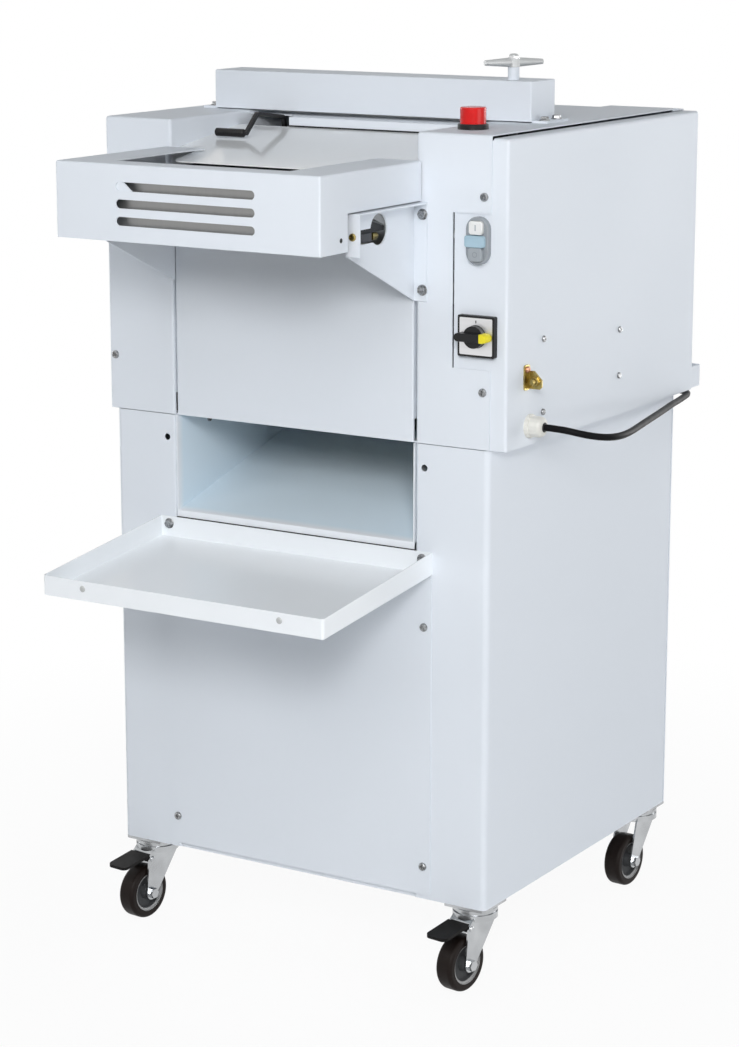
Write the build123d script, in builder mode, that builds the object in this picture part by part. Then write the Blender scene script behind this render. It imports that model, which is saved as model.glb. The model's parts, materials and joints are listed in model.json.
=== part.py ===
from build123d import *
import os
from math import acos, cos, hypot, pi, radians, sin, tan

# Bread dough moulder on a wheeled pedestal, in millimetres.
# Machine coordinates: x from the roller centre plane (right +), y back from the front
# face, z up from the underside of the pedestal. at() turns them into the part's frame.

os.makedirs("parts", exist_ok=True)

# Sheet metal
SHEET = 1.5
BEND = 4.0
CORNER_BEND = 8.0
SEAT = 0.3
RUNNING = 0.05
CUT = 1.0

# Pedestal
PED_LEFT = 285.0
PED_RIGHT = 295.0
PED_DEPTH = 530.0
PED_HEIGHT = 610.0
OPENING_HALF = 188.0
COLUMN_RETURN = 22.0
BACK_RETURN = 25.0
FLOOR_RIM = 25.0
PANEL_HALF = 208.0
PANEL_LOW = 6.0
PANEL_GAP = 5.0
PANEL_SCREW_X = 197.0
PANEL_SCREW_LOW = 45.0
PANEL_SCREW_DROP = 66.0
SPARE_HOLE_X = 201.0
SPARE_HOLE_DROP = 31.0
SPARE_HOLE_R = 4.5

# Discharge chute and exit tray
CHUTE_DROP = 130.0
CHUTE_SLOPE = 15.0
CHUTE_DEPTH = 300.0
CHUTE_APRON = 34.0
TRAY_HALF = 213.5
TRAY_REACH = 259.0
TRAY_DROP = 10.0
TRAY_BACK_RIM = 29.0
TRAY_FALL = 30.5
TRAY_FRONT_RIM = 25.5
TRAY_BOLT_X = 199.0
TRAY_BOLT_DROP = 10.0

# Head casing
HEAD_HALF = 295.0
HEAD_HEIGHT = 394.0
HEAD_DEPTH = 543.0
HEAD_SHADOW = 1.0
PAN_FRONT = 4.0
PAN_RIM = 30.0
PAN_LEDGE = 42.0
PAN_LEFT = 290.0
PAN_RIGHT = 311.0
PAN_SHEET = 2.0
DROP_BACK = 246.0
DROP_HALF = 176.0
WALL_FLANGE = 14.0
WALL_DEPTH = 330.0
WALL_LOW = 332.0
TOWER_SHORT = 21.0
TOWER_SCREW_IN = 10.0
TOWER_SCREW_LOW = 74.0
TOWER_SCREW_HIGH = 318.0
COVER_REACH = 23.0
COVER_DROP = 4.0
COVER_TOP_RETURN = 22.0
COVER_SCREW_FRONT = 97.0
COVER_SCREW_FRONT_LOW = 38.0
COVER_SCREW_FRONT_HIGH = 132.0
COVER_SCREW_BACK = 311.0
COVER_SCREW_BACK_LOW = 54.0
COVER_SCREW_BACK_HIGH = 116.0
TAB_WIDTH = 76.0
TAB_GAP = 1.5
TAB_LOW = 102.0
TAB_HIGH = 297.0
FRONT_PANEL_HALF = 184.0
FRONT_PANEL_HIGH = 248.0
FRONT_PANEL_RETURN = 16.0

# Deck, top plate and top bar
DECK_FRONT = 55.0
DECK_BACK = 158.0
DECK_FRONT_Z = 346.0
DECK_SLOPE = 8.2
DECK_TONGUE_HALF = 148.0
DECK_CORNER = 14.0
TOP_PLATE_DROP = 4.0
TOP_PLATE_LIP = 12.0
TOP_NOTCH_X = 106.0
TOP_NOTCH_DEPTH = 30.0
BAR_HALF = 247.0
BAR_FRONT = 188.0
BAR_DEPTH = 65.0
BAR_HEIGHT = 53.0
BAR_FOOT = 22.0
BAR_FOOT_THICK = 3.0
BAR_SHADOW = 1.5
POST_HEIGHT = 16.0
POST_R = 7.5

# Feed guard, slide and brackets
GUARD_HALF = 196.0
GUARD_FRONT = 235.0
GUARD_BACK_GAP = 3.0
GUARD_LOW = 263.0
GUARD_HIGH = 358.5
WINDOW_HALF = 131.0
WINDOW_FRONT = 200.0
NOTCH_FRONT = 174.0
NOTCH_HIGH = 309.0
SLOT_LENGTH = 206.0
SLOT_WIDTH = 11.0
SLOT_PITCH = 21.4
SLOT_TOP = 331.0
PIVOT_Y = 189.0
PIVOT_Z = 278.0
PIVOT_R = 3.0
BRACKET_WEB = 2.0
BRACKET_FLANGE = 20.0
BRACKET_REACH = 160.0
BRACKET_HIGH = 307.0
BRACKET_NOSE = 255.0
BRACKET_LOW = 182.0
BRACKET_BOLT_IN = 15.0
KEYHOLE_Y = 87.0
KEYHOLE_Z = 281.0
KEYHOLE_R = 19.5
KEYHOLE_SLOT = 18.0
KEYHOLE_SLOT_DROP = 6.0
KEYHOLE_REACH = 42.0
INTERLOCK_WIDTH = 18.0
INTERLOCK_FOOT = 20.0
INTERLOCK_LOW = 3.0
INTERLOCK_HIGH = 10.5
INTERLOCK_NOSE = 2.5
INTERLOCK_REACH = 19.0
SLIDE_FRONT = 222.0
SLIDE_BACK = 46.0
SLIDE_SLOPE = 21.0
SLIDE_HIGH = 348.0
CHEEK_DROP = 5.0
CHEEK_RISE = 5.0

# Sheeting rollers and their gears
FRAME_THICK = 10.0
FRAME_FRONT = 18.0
FRAME_BACK = 420.0
ROLLER_R = 39.0
ROLLER_HALF = 178.0
SHAFT_R = 10.0
BOSS_R = 14.0
BOSS = 6.0
EDGE = 1.0
GEAR_MODULE = 4.0
ROLLER_TEETH = 21
DRIVE_TEETH = 34
GEAR_WIDTH = 10.0
BACKLASH = 0.5
FRONT_ROLLER_Y = 66.0
FRONT_ROLLER_Z = 192.0
GAP_ANGLE = 59.0
DRIVE_ANGLE = -68.0
BEARING_R = 23.5
GAP_TRAVEL = 6.0
SLOT_ROOM = 2.0
GEAR_GAP = 2.0
BLOCK_WIDTH = 44.0
BLOCK_LENGTH = 52.0
BLOCK_FLANGE = 60.0
BLOCK_FLANGE_THICK = 6.0
PUSH_ARM = 30.0

# Gap lever
LEVER_DISTANCE = 118.0
LEVER_SHAFT_R = 8.0
CAM_R = 11.0
CAM_OFFSET = 10.0
CAM_ANGLE = 60.0
LEVER_X = 120.0
LEVER_RISE = 24.0
LEVER_CRANK = 26.0
LEVER_THICK = 5.0
GRIP_Y = 76.0
GRIP_Z = 373.0
GRIP_R = 5.5
GRIP_LENGTH = 45.0

# Moulding belt and pressure board
BELT_ROLLER_R = 30.0
BELT_LENGTH = 240.0
BELT_THICK = 3.0
BELT_HALF = 176.0
BOARD_GAP = 27.0
BOARD_THICK = 12.0
BOARD_FRONT = 114.0
BOARD_BACK = 268.0
BOARD_HALF = 180.0
BOARD_DOWN = 9.0
BOARD_UP = 15.0
ARM_WIDTH = 14.0
SPINDLE_X = 208.0
SPINDLE_Y = 211.0
SPINDLE_R = 6.0
NUT_R = 13.0
NUT_HEIGHT = 22.0
HANDLE_LENGTH = 86.0
HANDLE_ANGLE = 59.0
HANDLE_ROOT_R = 6.0
HANDLE_TIP_R = 3.5
HUB_R = 8.0
HUB_HEIGHT = 12.0
DOME_R = 6.5
DOME_HEIGHT = 5.0

# Gearmotor
GEARBOX_WIDTH = 84.0
GEARBOX_FRONT = 52.0
GEARBOX_BACK = 158.0
GEARBOX_LOW = 6.0
GEARBOX_HIGH = 142.0
MOTOR_R = 46.0
MOTOR_NECK_R = 40.0
MOTOR_NECK = 10.0
MOTOR_LENGTH = 215.0
MOTOR_X = 252.0
MOTOR_RISE = 53.0

# Controls
CONTROL_X = 278.0
SWITCH_Z = 145.0
SWITCH_SIZE = 52.0
SWITCH_THICK = 8.0
KNOB_R = 14.0
KNOB_LENGTH = 46.0
KNOB_BAR = 10.5
BUTTON_Z = 264.0
BUTTON_WIDTH = 32.0
BUTTON_HEIGHT = 60.0
BUTTON_PROUD = 8.0
BUTTON_TRAVEL = 3.0
CAP_WIDTH = 19.0
CAP_HEIGHT = 17.0
CAP_PITCH = 33.0
ESTOP_X = 229.0
ESTOP_Y = 69.0
ESTOP_R = 16.5
ESTOP_HEIGHT = 22.0
ESTOP_BASE_R = 19.5
ESTOP_BASE_HEIGHT = 7.0
ESTOP_TRAVEL = 4.0

# Side cover fittings and cord
EARTH_Y = 52.0
EARTH_Z = 86.0
EARTH_REACH = 20.0
EARTH_HALF = 7.0
EARTH_SHEET = 2.0
EARTH_UP = 19.0
EARTH_DOWN = 13.0
EARTH_TAB_UP = 8.0
EARTH_STUD_R = 3.0
EARTH_STUD_IN = 9.0
EARTH_STUD_DROP = 2.0
EARTH_STUD = 14.0
EARTH_NUT_R = 6.0
EARTH_NUT = 5.0
EARTH_SCREW_R = 4.0
EARTH_SCREW_UP = 13.0
GLAND_Y = 62.0
GLAND_Z = 25.5
GLAND_R = 13.5
GLAND_FLANGE_R = 15.5
GLAND_FLANGE = 5.0
GLAND_END_R = 11.0
GLAND_REACH = 22.0
CORD_R = 4.5
COIL_R = 54.0
COIL_PITCH = 9.6
COIL_HALF_TURNS = 3
PLUG_R = 13.5
PLUG_RELIEF = 26.0
PLUG_LENGTH = 58.0
PIN_PITCH = 19.0
PIN_R = 2.4
PIN_LENGTH = 19.0

# Casters
CASTER_HEIGHT = 114.5
CASTER_INSET = 32.0
REAR_INSET = 24.0
WHEEL_R = 37.5
TYRE_WIDTH = 25.0
TREAD_ROUND = 5.0
RIM_R = 27.0
RIM_FOOT_R = 22.0
LIP_R = 24.0
LIP_IN = 2.0
WEB = 5.0
HUB_FOOT_R = 11.0
HUB_END_R = 9.0
TRAIL = 32.0
AXLE_R = 4.0
FORK_GAP = 30.0
FORK_SHEET = 2.5
FORK_TOP = 50.0
FORK_EYE_R = 10.0
RACE_R = 30.0
RACE_STEP = 1.5
PLATE_HALF = 31.0
PLATE_THICK = 4.0
KINGPIN_R = 5.0
AXLE_NUT = 13.0
AXLE_NUT_HEIGHT = 6.0
PEDAL_U = 30.0
PEDAL_W = -28.0
PEDAL_START = 6.0
PEDAL_RISE = 8.0
PEDAL_FALL = 6.5
PEDAL_LENGTH = 50.0
PEDAL_WIDTH = 34.0
PEDAL_THICK = 4.0
PEDAL_EYE_R = 6.5
PEDAL_PIN_R = 2.0

# Fasteners
SCREW_HEAD_R = 5.5
COVER_HEAD_R = 4.0
SCREW_HEAD = 3.0
SCREW_R = 2.5
BOLT_FLATS = 10.0
BOLT_HEAD = 5.0
BOLT_R = 3.0

# Heights that several pieces share
chute_lip = PED_HEIGHT - CHUTE_DROP
tray_back_top = chute_lip - TRAY_DROP
tray_front_top = tray_back_top - TRAY_FALL
tray_bolt_z = tray_back_top - TRAY_BOLT_DROP
panel_high = tray_back_top - TRAY_BACK_RIM - PANEL_GAP
spare_hole_z = PED_HEIGHT - SPARE_HOLE_DROP
head_low = PED_HEIGHT + HEAD_SHADOW
head_top = PED_HEIGHT + HEAD_HEIGHT
cover_x = HEAD_HALF + COVER_REACH
cover_top = head_top - COVER_DROP
pan_top = PED_HEIGHT + PAN_SHEET
rim_clear = PED_HEIGHT + PAN_RIM + SEAT
wall_inner = OPENING_HALF + SHEET
frame_in = wall_inner
frame_out = frame_in + FRAME_THICK
gear_start = frame_out + BLOCK_FLANGE_THICK + GEAR_GAP
gear_end = gear_start + GEAR_WIDTH
bar_top = head_top + BAR_HEIGHT
top_plate_z = head_top - TOP_PLATE_DROP
pan_back = HEAD_DEPTH + PAN_LEDGE
right_tower_depth = HEAD_DEPTH - TOWER_SHORT
bracket_bolt_z = (PED_HEIGHT + BRACKET_LOW + BRACKET_BOLT_IN, PED_HEIGHT + BRACKET_HIGH - BRACKET_BOLT_IN)

# Roller places, in the side view
gap_dir = (cos(radians(GAP_ANGLE)), sin(radians(GAP_ANGLE)))
drive_dir = (cos(radians(DRIVE_ANGLE)), sin(radians(DRIVE_ANGLE)))
roller_pitch = GEAR_MODULE * ROLLER_TEETH
drive_pitch = GEAR_MODULE * (ROLLER_TEETH + DRIVE_TEETH) / 2
front_c = (FRONT_ROLLER_Y, PED_HEIGHT + FRONT_ROLLER_Z)
rear_c = (front_c[0] + roller_pitch * gap_dir[0], front_c[1] + roller_pitch * gap_dir[1])
drive_c = (front_c[0] + drive_pitch * drive_dir[0], front_c[1] + drive_pitch * drive_dir[1])
idler_c = (drive_c[0] + BELT_LENGTH, drive_c[1])
lever_c = (rear_c[0] + LEVER_DISTANCE * gap_dir[0], rear_c[1] + LEVER_DISTANCE * gap_dir[1])
belt_r = BELT_ROLLER_R + SEAT
board_low = drive_c[1] + belt_r + BELT_THICK + BOARD_GAP
arm_z = board_low + BOARD_THICK / 2

# The part's frame: middle of the whole box in x and y, floor at z = 0
CENTRE_X = -(COVER_REACH + EARTH_REACH) / 2
FRONT_Y = (TRAY_REACH - pan_back) / 2


def at(x, y, z):
    """Machine coordinates to the part's frame."""
    return (CENTRE_X + x, FRONT_Y + y, CASTER_HEIGHT + z)


def side(x):
    """Sketch plane across the machine: local (y, z), normal to the right."""
    return Plane(origin=at(x, 0, 0), x_dir=(0, 1, 0), z_dir=(1, 0, 0))


def front(y):
    """Sketch plane facing the front: local (x, z), normal towards the user."""
    return Plane(origin=at(0, y, 0), x_dir=(1, 0, 0), z_dir=(0, -1, 0))


def level(z):
    """Horizontal sketch plane: local (x, y), normal up."""
    return Plane(origin=at(0, 0, z))


def block(x0, x1, y0, y1, z0, z1, mode=Mode.ADD):
    """Rectangular block between two corners in machine coordinates."""
    with Locations(at((x0 + x1) / 2, (y0 + y1) / 2, (z0 + z1) / 2)):
        Box(x1 - x0, y1 - y0, z1 - z0, mode=mode)


def prism(plane, points, amount, mode=Mode.ADD):
    """Extrude a closed outline from a plane."""
    with BuildSketch(plane, mode=Mode.PRIVATE) as outline:
        with BuildLine():
            Polyline(*points, close=True)
        make_face()
    extrude(outline.sketch, amount=amount, mode=mode)


def folded(plane, points, bends, inside, length):
    """Sheet folded along an outline of its outer face, then drawn out along the plane's normal."""
    with BuildSketch(plane, mode=Mode.PRIVATE) as profile:
        with BuildLine():
            FilletPolyline(*points, radius=bends)
            offset(amount=SHEET, side=inside)
        make_face()
    extrude(profile.sketch, amount=length)


def rod(plane, centre, radius, length, mode=Mode.ADD):
    """Round bar, or a round hole, drawn out from a plane."""
    with BuildSketch(plane, mode=Mode.PRIVATE) as section:
        with Locations(centre):
            Circle(radius)
    extrude(section.sketch, amount=length, mode=mode)


def drill(plane, centres, radius, depth):
    """Round holes through the sheet that the plane crosses."""
    with BuildSketch(plane, mode=Mode.PRIVATE) as holes:
        with Locations(*centres):
            Circle(radius)
    extrude(holes.sketch, amount=depth, both=True, mode=Mode.SUBTRACT)


def keep(piece, name):
    """Label a finished piece and write it."""
    piece.part.label = name
    export_step(piece.part, f"parts/{name}.step")


# Pedestal sides, each with its front column and a return behind
ped_middle = (PED_RIGHT - PED_LEFT) / 2


def panel_screw_points(sign):
    x = ped_middle + sign * PANEL_SCREW_X
    return [(x, PANEL_SCREW_LOW), (x, panel_high - PANEL_SCREW_DROP)]


def back_screw_points(sign, reach):
    x = sign * (reach - BACK_RETURN / 2 - SHEET)
    return [(x, PANEL_SCREW_LOW), (x, PED_HEIGHT - PANEL_SCREW_LOW)]


def pedestal_side(sign, reach):
    outline = [
        (sign * (reach - BACK_RETURN), PED_DEPTH),
        (sign * reach, PED_DEPTH),
        (sign * reach, 0),
        (sign * OPENING_HALF, 0),
        (sign * OPENING_HALF, COLUMN_RETURN),
    ]
    inside = Side.RIGHT if sign > 0 else Side.LEFT
    with BuildPart() as piece:
        folded(level(0), outline, [BEND, CORNER_BEND, BEND], inside, PED_HEIGHT)
        corner = sorted((sign * (OPENING_HALF - CUT), sign * (OPENING_HALF + BEND)))
        block(*corner, SHEET, COLUMN_RETURN + CUT, -CUT, FLOOR_RIM + SEAT, Mode.SUBTRACT)
        drill(front(0), [(sign * SPARE_HOLE_X, spare_hole_z)], SPARE_HOLE_R, 2 * SHEET)
        drill(front(0), [(sign * TRAY_BOLT_X, tray_bolt_z)], BOLT_R + RUNNING, 2 * SHEET)
        drill(front(0), panel_screw_points(sign), SCREW_R + RUNNING, 2 * SHEET)
        drill(front(PED_DEPTH), back_screw_points(sign, reach), SCREW_R + RUNNING, 2 * SHEET)
    return piece


keep(pedestal_side(-1, PED_LEFT), "pedestal_left_side")
keep(pedestal_side(1, PED_RIGHT), "pedestal_right_side")

with BuildPart() as pedestal_floor:
    fit = SHEET + SEAT
    block(-PED_LEFT + fit, PED_RIGHT - fit, fit, PED_DEPTH - fit, 0, FLOOR_RIM)
    upright = pedestal_floor.edges().filter_by(Axis.Z)
    fillet(upright, CORNER_BEND)
    offset(amount=-SHEET, openings=pedestal_floor.faces().sort_by(Axis.Z)[-1])
keep(pedestal_floor, "pedestal_floor")

with BuildPart() as lower_front_panel:
    with BuildSketch(front(0)):
        with Locations((ped_middle, (PANEL_LOW + panel_high) / 2)):
            RectangleRounded(2 * PANEL_HALF, panel_high - PANEL_LOW, BEND)
    extrude(amount=SHEET)
    drill(front(0), panel_screw_points(-1) + panel_screw_points(1), SCREW_R + RUNNING, 2 * SHEET)
keep(lower_front_panel, "lower_front_panel")

# Back panels of the pedestal and of the head
with BuildPart() as back_panels:
    block(-PED_LEFT, PED_RIGHT, PED_DEPTH, PED_DEPTH + SHEET, 0, PED_HEIGHT - SEAT)
    holes = back_screw_points(-1, PED_LEFT) + back_screw_points(1, PED_RIGHT)
    drill(front(PED_DEPTH), holes, SCREW_R + RUNNING, 2 * SHEET)
    head_back = HEAD_DEPTH - SHEET - SEAT
    inner_left = -PAN_LEFT + PAN_SHEET + SEAT
    block(inner_left, HEAD_HALF, head_back - SHEET, head_back, pan_top, top_plate_z - SHEET - SEAT)
    shelf_low = head_top - 2 * SHEET - SEAT
    shelf = (OPENING_HALF + BEND + SEAT, HEAD_HALF)
    block(*shelf, right_tower_depth - WALL_FLANGE, head_back, shelf_low, shelf_low + SHEET)
    block(*shelf, head_back - SHEET, head_back, pan_top, shelf_low + SHEET)
keep(back_panels, "back_panels")

# Chute: a sloping floor between two side walls, with an apron behind the tray
chute_half = OPENING_HALF - SHEET - SEAT
chute_rise = tan(radians(CHUTE_SLOPE))


def chute_z(y):
    return chute_lip + chute_rise * y


with BuildPart() as discharge_chute:
    floor_line = [
        (SEAT, chute_lip - CHUTE_APRON),
        (SEAT, chute_lip),
        (CHUTE_DEPTH, chute_z(CHUTE_DEPTH)),
    ]
    folded(side(-chute_half), floor_line, BEND / 2, Side.RIGHT, 2 * chute_half)
    wall_top = PED_HEIGHT - SEAT
    wall = [
        (BEND, chute_z(BEND) - SHEET),
        (CHUTE_DEPTH, chute_z(CHUTE_DEPTH) - SHEET),
        (CHUTE_DEPTH, wall_top),
        (SEAT, wall_top),
        (SEAT, chute_lip),
    ]
    for edge in (-chute_half, chute_half - SHEET):
        prism(side(edge), wall, SHEET)
keep(discharge_chute, "discharge_chute")

with BuildPart() as exit_tray:
    tray_profile = [
        (0, tray_back_top),
        (0, tray_back_top - TRAY_BACK_RIM),
        (-TRAY_REACH, tray_front_top - TRAY_FRONT_RIM),
        (-TRAY_REACH, tray_front_top),
    ]
    prism(side(-TRAY_HALF), tray_profile, 2 * TRAY_HALF)
    front_edges = exit_tray.edges().filter_by(Axis.Z).group_by(Axis.Y)[0]
    fillet(front_edges, BEND)
    upward = exit_tray.faces().filter_by(lambda face: face.normal_at().Z > 0.5)
    offset(amount=-SHEET, openings=upward)
    tray_holes = [(-TRAY_BOLT_X, tray_bolt_z), (TRAY_BOLT_X, tray_bolt_z)]
    drill(front(0), tray_holes, BOLT_R + RUNNING, 2 * SHEET)
keep(exit_tray, "exit_tray")

# Base pan of the head, with the drop hole and a ledge that shows behind
with BuildPart() as head_base:
    block(-PAN_LEFT, PAN_RIGHT, PAN_FRONT, pan_back, PED_HEIGHT, PED_HEIGHT + PAN_RIM)
    fillet(head_base.edges().filter_by(Axis.Z).group_by(Axis.Y)[-1], BEND)
    offset(amount=-PAN_SHEET, openings=head_base.faces().sort_by(Axis.Z)[-1])
    drop_front = PAN_FRONT + PAN_SHEET + BEND
    block(-DROP_HALF, DROP_HALF, drop_front, DROP_BACK, PED_HEIGHT - CUT, pan_top + CUT, Mode.SUBTRACT)
    for sign in (-1, 1):
        gap = sorted((sign * (FRONT_PANEL_HALF - BEND), sign * (OPENING_HALF + BEND)))
        block(*gap, PAN_FRONT - CUT, PAN_FRONT + PAN_SHEET + CUT, pan_top, rim_clear, Mode.SUBTRACT)
keep(head_base, "head_base")

# Screws in the fronts of the towers and in the side cover
tower_screws = [
    (HEAD_HALF - TOWER_SCREW_IN, PED_HEIGHT + TOWER_SCREW_HIGH),
    (HEAD_HALF - TOWER_SCREW_IN, PED_HEIGHT + TOWER_SCREW_LOW),
    (TOWER_SCREW_IN - HEAD_HALF, PED_HEIGHT + TOWER_SCREW_LOW),
]
cover_screws = [
    (COVER_SCREW_FRONT, PED_HEIGHT + COVER_SCREW_FRONT_LOW),
    (COVER_SCREW_FRONT, PED_HEIGHT + COVER_SCREW_FRONT_HIGH),
    (COVER_SCREW_BACK, PED_HEIGHT + COVER_SCREW_BACK_LOW),
    (COVER_SCREW_BACK, PED_HEIGHT + COVER_SCREW_BACK_HIGH),
]


# Towers: casings that stand on the pedestal at both sides of the feed
def tower(sign, depth, outer_side):
    outer, inner = sorted((sign * HEAD_HALF, sign * OPENING_HALF))
    with BuildPart() as piece:
        block(outer, inner, 0, depth, head_low, head_top)
        rounded = piece.edges().filter_by(Axis.Z).group_by(Axis.Y)[0]
        rounded += piece.edges().group_by(Axis.Z)[-1].filter_by(Axis.Y)
        rounded += piece.edges().group_by(Axis.Z)[-1].filter_by(Axis.X).sort_by(Axis.Y)[0:1]
        open_x = at(sign * HEAD_HALF, 0, 0)[0]
        if not outer_side:
            rounded = [edge for edge in rounded if abs(edge.center().X - open_x) > BEND]
        fillet(rounded, BEND)
        faces = piece.faces()
        openings = [faces.sort_by(Axis.Y)[-1], faces.sort_by(Axis.Z)[0]]
        if not outer_side:
            openings.append(faces.sort_by(Axis.X)[-1 if sign > 0 else 0])
        offset(amount=-SHEET, openings=openings)
        wall = sorted((sign * (OPENING_HALF - CUT), sign * (wall_inner + SEAT)))
        low = PED_HEIGHT + WALL_LOW
        block(*wall, PAN_FRONT - SEAT, depth + CUT, PED_HEIGHT, rim_clear, Mode.SUBTRACT)
        block(*wall, WALL_FLANGE, depth + CUT, PED_HEIGHT, low, Mode.SUBTRACT)
        block(*wall, WALL_DEPTH, depth + CUT, low - CUT, head_top - BEND - CUT, Mode.SUBTRACT)
        bolts = [(sign * (OPENING_HALF + BRACKET_FLANGE / 2), z) for z in bracket_bolt_z]
        drill(front(0), bolts, BOLT_R + RUNNING, 2 * SHEET)
        drill(side(sign * OPENING_HALF), [lever_c], LEVER_SHAFT_R + SHEET, 2 * SHEET)
        own_screws = [point for point in tower_screws if sign * point[0] > 0]
        drill(front(0), own_screws, SCREW_R + RUNNING, 2 * SHEET)
    return piece


tab_x = cover_x - TAB_WIDTH

left_tower = tower(-1, HEAD_DEPTH, True)
keep(left_tower, "left_tower")

right_tower = tower(1, right_tower_depth, False)
with right_tower:
    tab_low = PED_HEIGHT + TAB_LOW
    tab_high = PED_HEIGHT + TAB_HIGH
    block(tab_x - TAB_GAP, HEAD_HALF + CUT, -CUT, SHEET + SEAT, tab_low, tab_high, Mode.SUBTRACT)
    drill(level(head_top), [(ESTOP_X, ESTOP_Y)], ESTOP_R / 2, 2 * SHEET)
    drill(level(head_top), [(SPINDLE_X, SPINDLE_Y)], SPINDLE_R + CUT, 2 * SHEET)
keep(right_tower, "right_tower")

# Right side cover with the control tab on its front flange
tab_face = SHEET + SEAT
with BuildPart() as right_side_cover:
    block(tab_x, cover_x, tab_face, HEAD_DEPTH, head_low, cover_top)
    outer_edges = right_side_cover.edges().group_by(Axis.X)[-1]
    fillet(outer_edges.filter_by(Axis.Z), BEND)
    fillet(right_side_cover.edges().group_by(Axis.Z)[-1].filter_by(Axis.Y).sort_by(Axis.X)[-1], BEND)
    faces = right_side_cover.faces()
    offset(amount=-SHEET, openings=[faces.sort_by(Axis.X)[0], faces.sort_by(Axis.Z)[0]])
    return_x = cover_x - COVER_TOP_RETURN
    behind = tab_face + SHEET
    block(tab_x, cover_x - BEND, HEAD_DEPTH - BEND, HEAD_DEPTH + CUT, PED_HEIGHT, rim_clear, Mode.SUBTRACT)
    block(tab_x - CUT, return_x, behind, HEAD_DEPTH + CUT, PED_HEIGHT, head_top, Mode.SUBTRACT)
    block(tab_x - CUT, return_x, -CUT, behind + CUT, cover_top - SHEET - CUT, head_top, Mode.SUBTRACT)
    drill(front(tab_face), [(CONTROL_X, PED_HEIGHT + SWITCH_Z)], KNOB_R / 2, 2 * SHEET)
    caps = [(CONTROL_X, PED_HEIGHT + BUTTON_Z + step * CAP_PITCH / 2) for step in (-1, 1)]
    drill(front(tab_face), caps, CAP_WIDTH / 3, 2 * SHEET)
    drill(side(cover_x), cover_screws, SCREW_R + RUNNING, 2 * SHEET)
    flange_screws = [point for point in tower_screws if point[0] > tab_x]
    drill(front(tab_face), flange_screws, SCREW_R + RUNNING, 2 * SHEET)
keep(right_side_cover, "right_side_cover")

# Panel under the feed guard
with BuildPart() as upper_front_panel:
    panel_line = [
        (-FRONT_PANEL_HALF, FRONT_PANEL_RETURN),
        (-FRONT_PANEL_HALF, 0),
        (FRONT_PANEL_HALF, 0),
        (FRONT_PANEL_HALF, FRONT_PANEL_RETURN),
    ]
    panel_low = PED_HEIGHT + HEAD_SHADOW
    folded(level(panel_low), panel_line, BEND / 2, Side.LEFT, FRONT_PANEL_HIGH - HEAD_SHADOW)
    block(-OPENING_HALF, OPENING_HALF, PAN_FRONT - SEAT, FRONT_PANEL_RETURN + CUT,
          panel_low - CUT, rim_clear, Mode.SUBTRACT)
keep(upper_front_panel, "upper_front_panel")

# Inclined deck over the rollers, with a tongue that reaches into the guard
deck_plane = Plane(
    origin=at(0, -DECK_FRONT, PED_HEIGHT + DECK_FRONT_Z),
    x_dir=(1, 0, 0),
    z_dir=(0, -sin(radians(DECK_SLOPE)), cos(radians(DECK_SLOPE))),
)
deck_run = (DECK_FRONT + DECK_BACK) / cos(radians(DECK_SLOPE))
tongue_run = (DECK_FRONT + SEAT) / cos(radians(DECK_SLOPE))
deck_half = OPENING_HALF - SEAT
with BuildPart() as feed_deck:
    with BuildSketch(deck_plane) as tongue:
        with Locations((0, tongue_run / 2)):
            Rectangle(2 * DECK_TONGUE_HALF, tongue_run)
        fillet(tongue.vertices().group_by(Axis.Y)[0], DECK_CORNER)
        with Locations((0, (tongue_run + deck_run) / 2)):
            Rectangle(2 * deck_half, deck_run - tongue_run)
    extrude(amount=-SHEET)
keep(feed_deck, "feed_deck")

with BuildPart() as top_plate:
    plate_line = [
        (DECK_BACK + SEAT, top_plate_z - TOP_PLATE_LIP),
        (DECK_BACK + SEAT, top_plate_z),
        (head_back - SHEET - SEAT, top_plate_z),
    ]
    folded(side(-deck_half), plate_line, BEND / 2, Side.RIGHT, 2 * deck_half)
    notch = [
        (-OPENING_HALF, DECK_BACK),
        (-TOP_NOTCH_X, DECK_BACK),
        (-TOP_NOTCH_X, DECK_BACK + TOP_NOTCH_DEPTH / 2),
        (-TOP_NOTCH_X - TOP_NOTCH_DEPTH / 2, DECK_BACK + TOP_NOTCH_DEPTH),
        (-OPENING_HALF, DECK_BACK + TOP_NOTCH_DEPTH),
    ]
    prism(level(top_plate_z + CUT), notch, -TOP_PLATE_LIP - 2 * CUT, Mode.SUBTRACT)
keep(top_plate, "top_plate")

# Bar across both towers, which carries the pressure spindle
bar_bolts = [
    (sign * (BAR_HALF + BAR_FOOT / 2), BAR_FRONT + share * BAR_DEPTH)
    for sign in (-1, 1)
    for share in (0.25, 0.75)
]
with BuildPart() as top_bar:
    bar_box = (-BAR_HALF, BAR_HALF, BAR_FRONT, BAR_FRONT + BAR_DEPTH)
    block(*bar_box, head_top, bar_top)
    crown = top_bar.faces().sort_by(Axis.Z)[-1].edges()
    fillet(crown + top_bar.edges().filter_by(Axis.Z), BEND / 2)
    offset(amount=-SHEET, openings=top_bar.faces().sort_by(Axis.Z)[0])
    block(*bar_box, head_top, head_top + BAR_SHADOW, Mode.SUBTRACT)
    for sign in (-1, 1):
        foot = sorted((sign * (BAR_HALF - SHEET), sign * (BAR_HALF + BAR_FOOT)))
        block(*foot, BAR_FRONT + BEND, BAR_FRONT + BAR_DEPTH - BEND, head_top, head_top + BAR_FOOT_THICK)
    drill(level(head_top), bar_bolts, BOLT_R + RUNNING, 2 * BAR_FOOT_THICK)
    rod(level(bar_top - SHEET), (SPINDLE_X, SPINDLE_Y), POST_R, SHEET + POST_HEIGHT)
    drill(level(bar_top), [(SPINDLE_X, SPINDLE_Y)], SPINDLE_R + RUNNING, 2 * POST_HEIGHT)
keep(top_bar, "top_bar")

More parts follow.
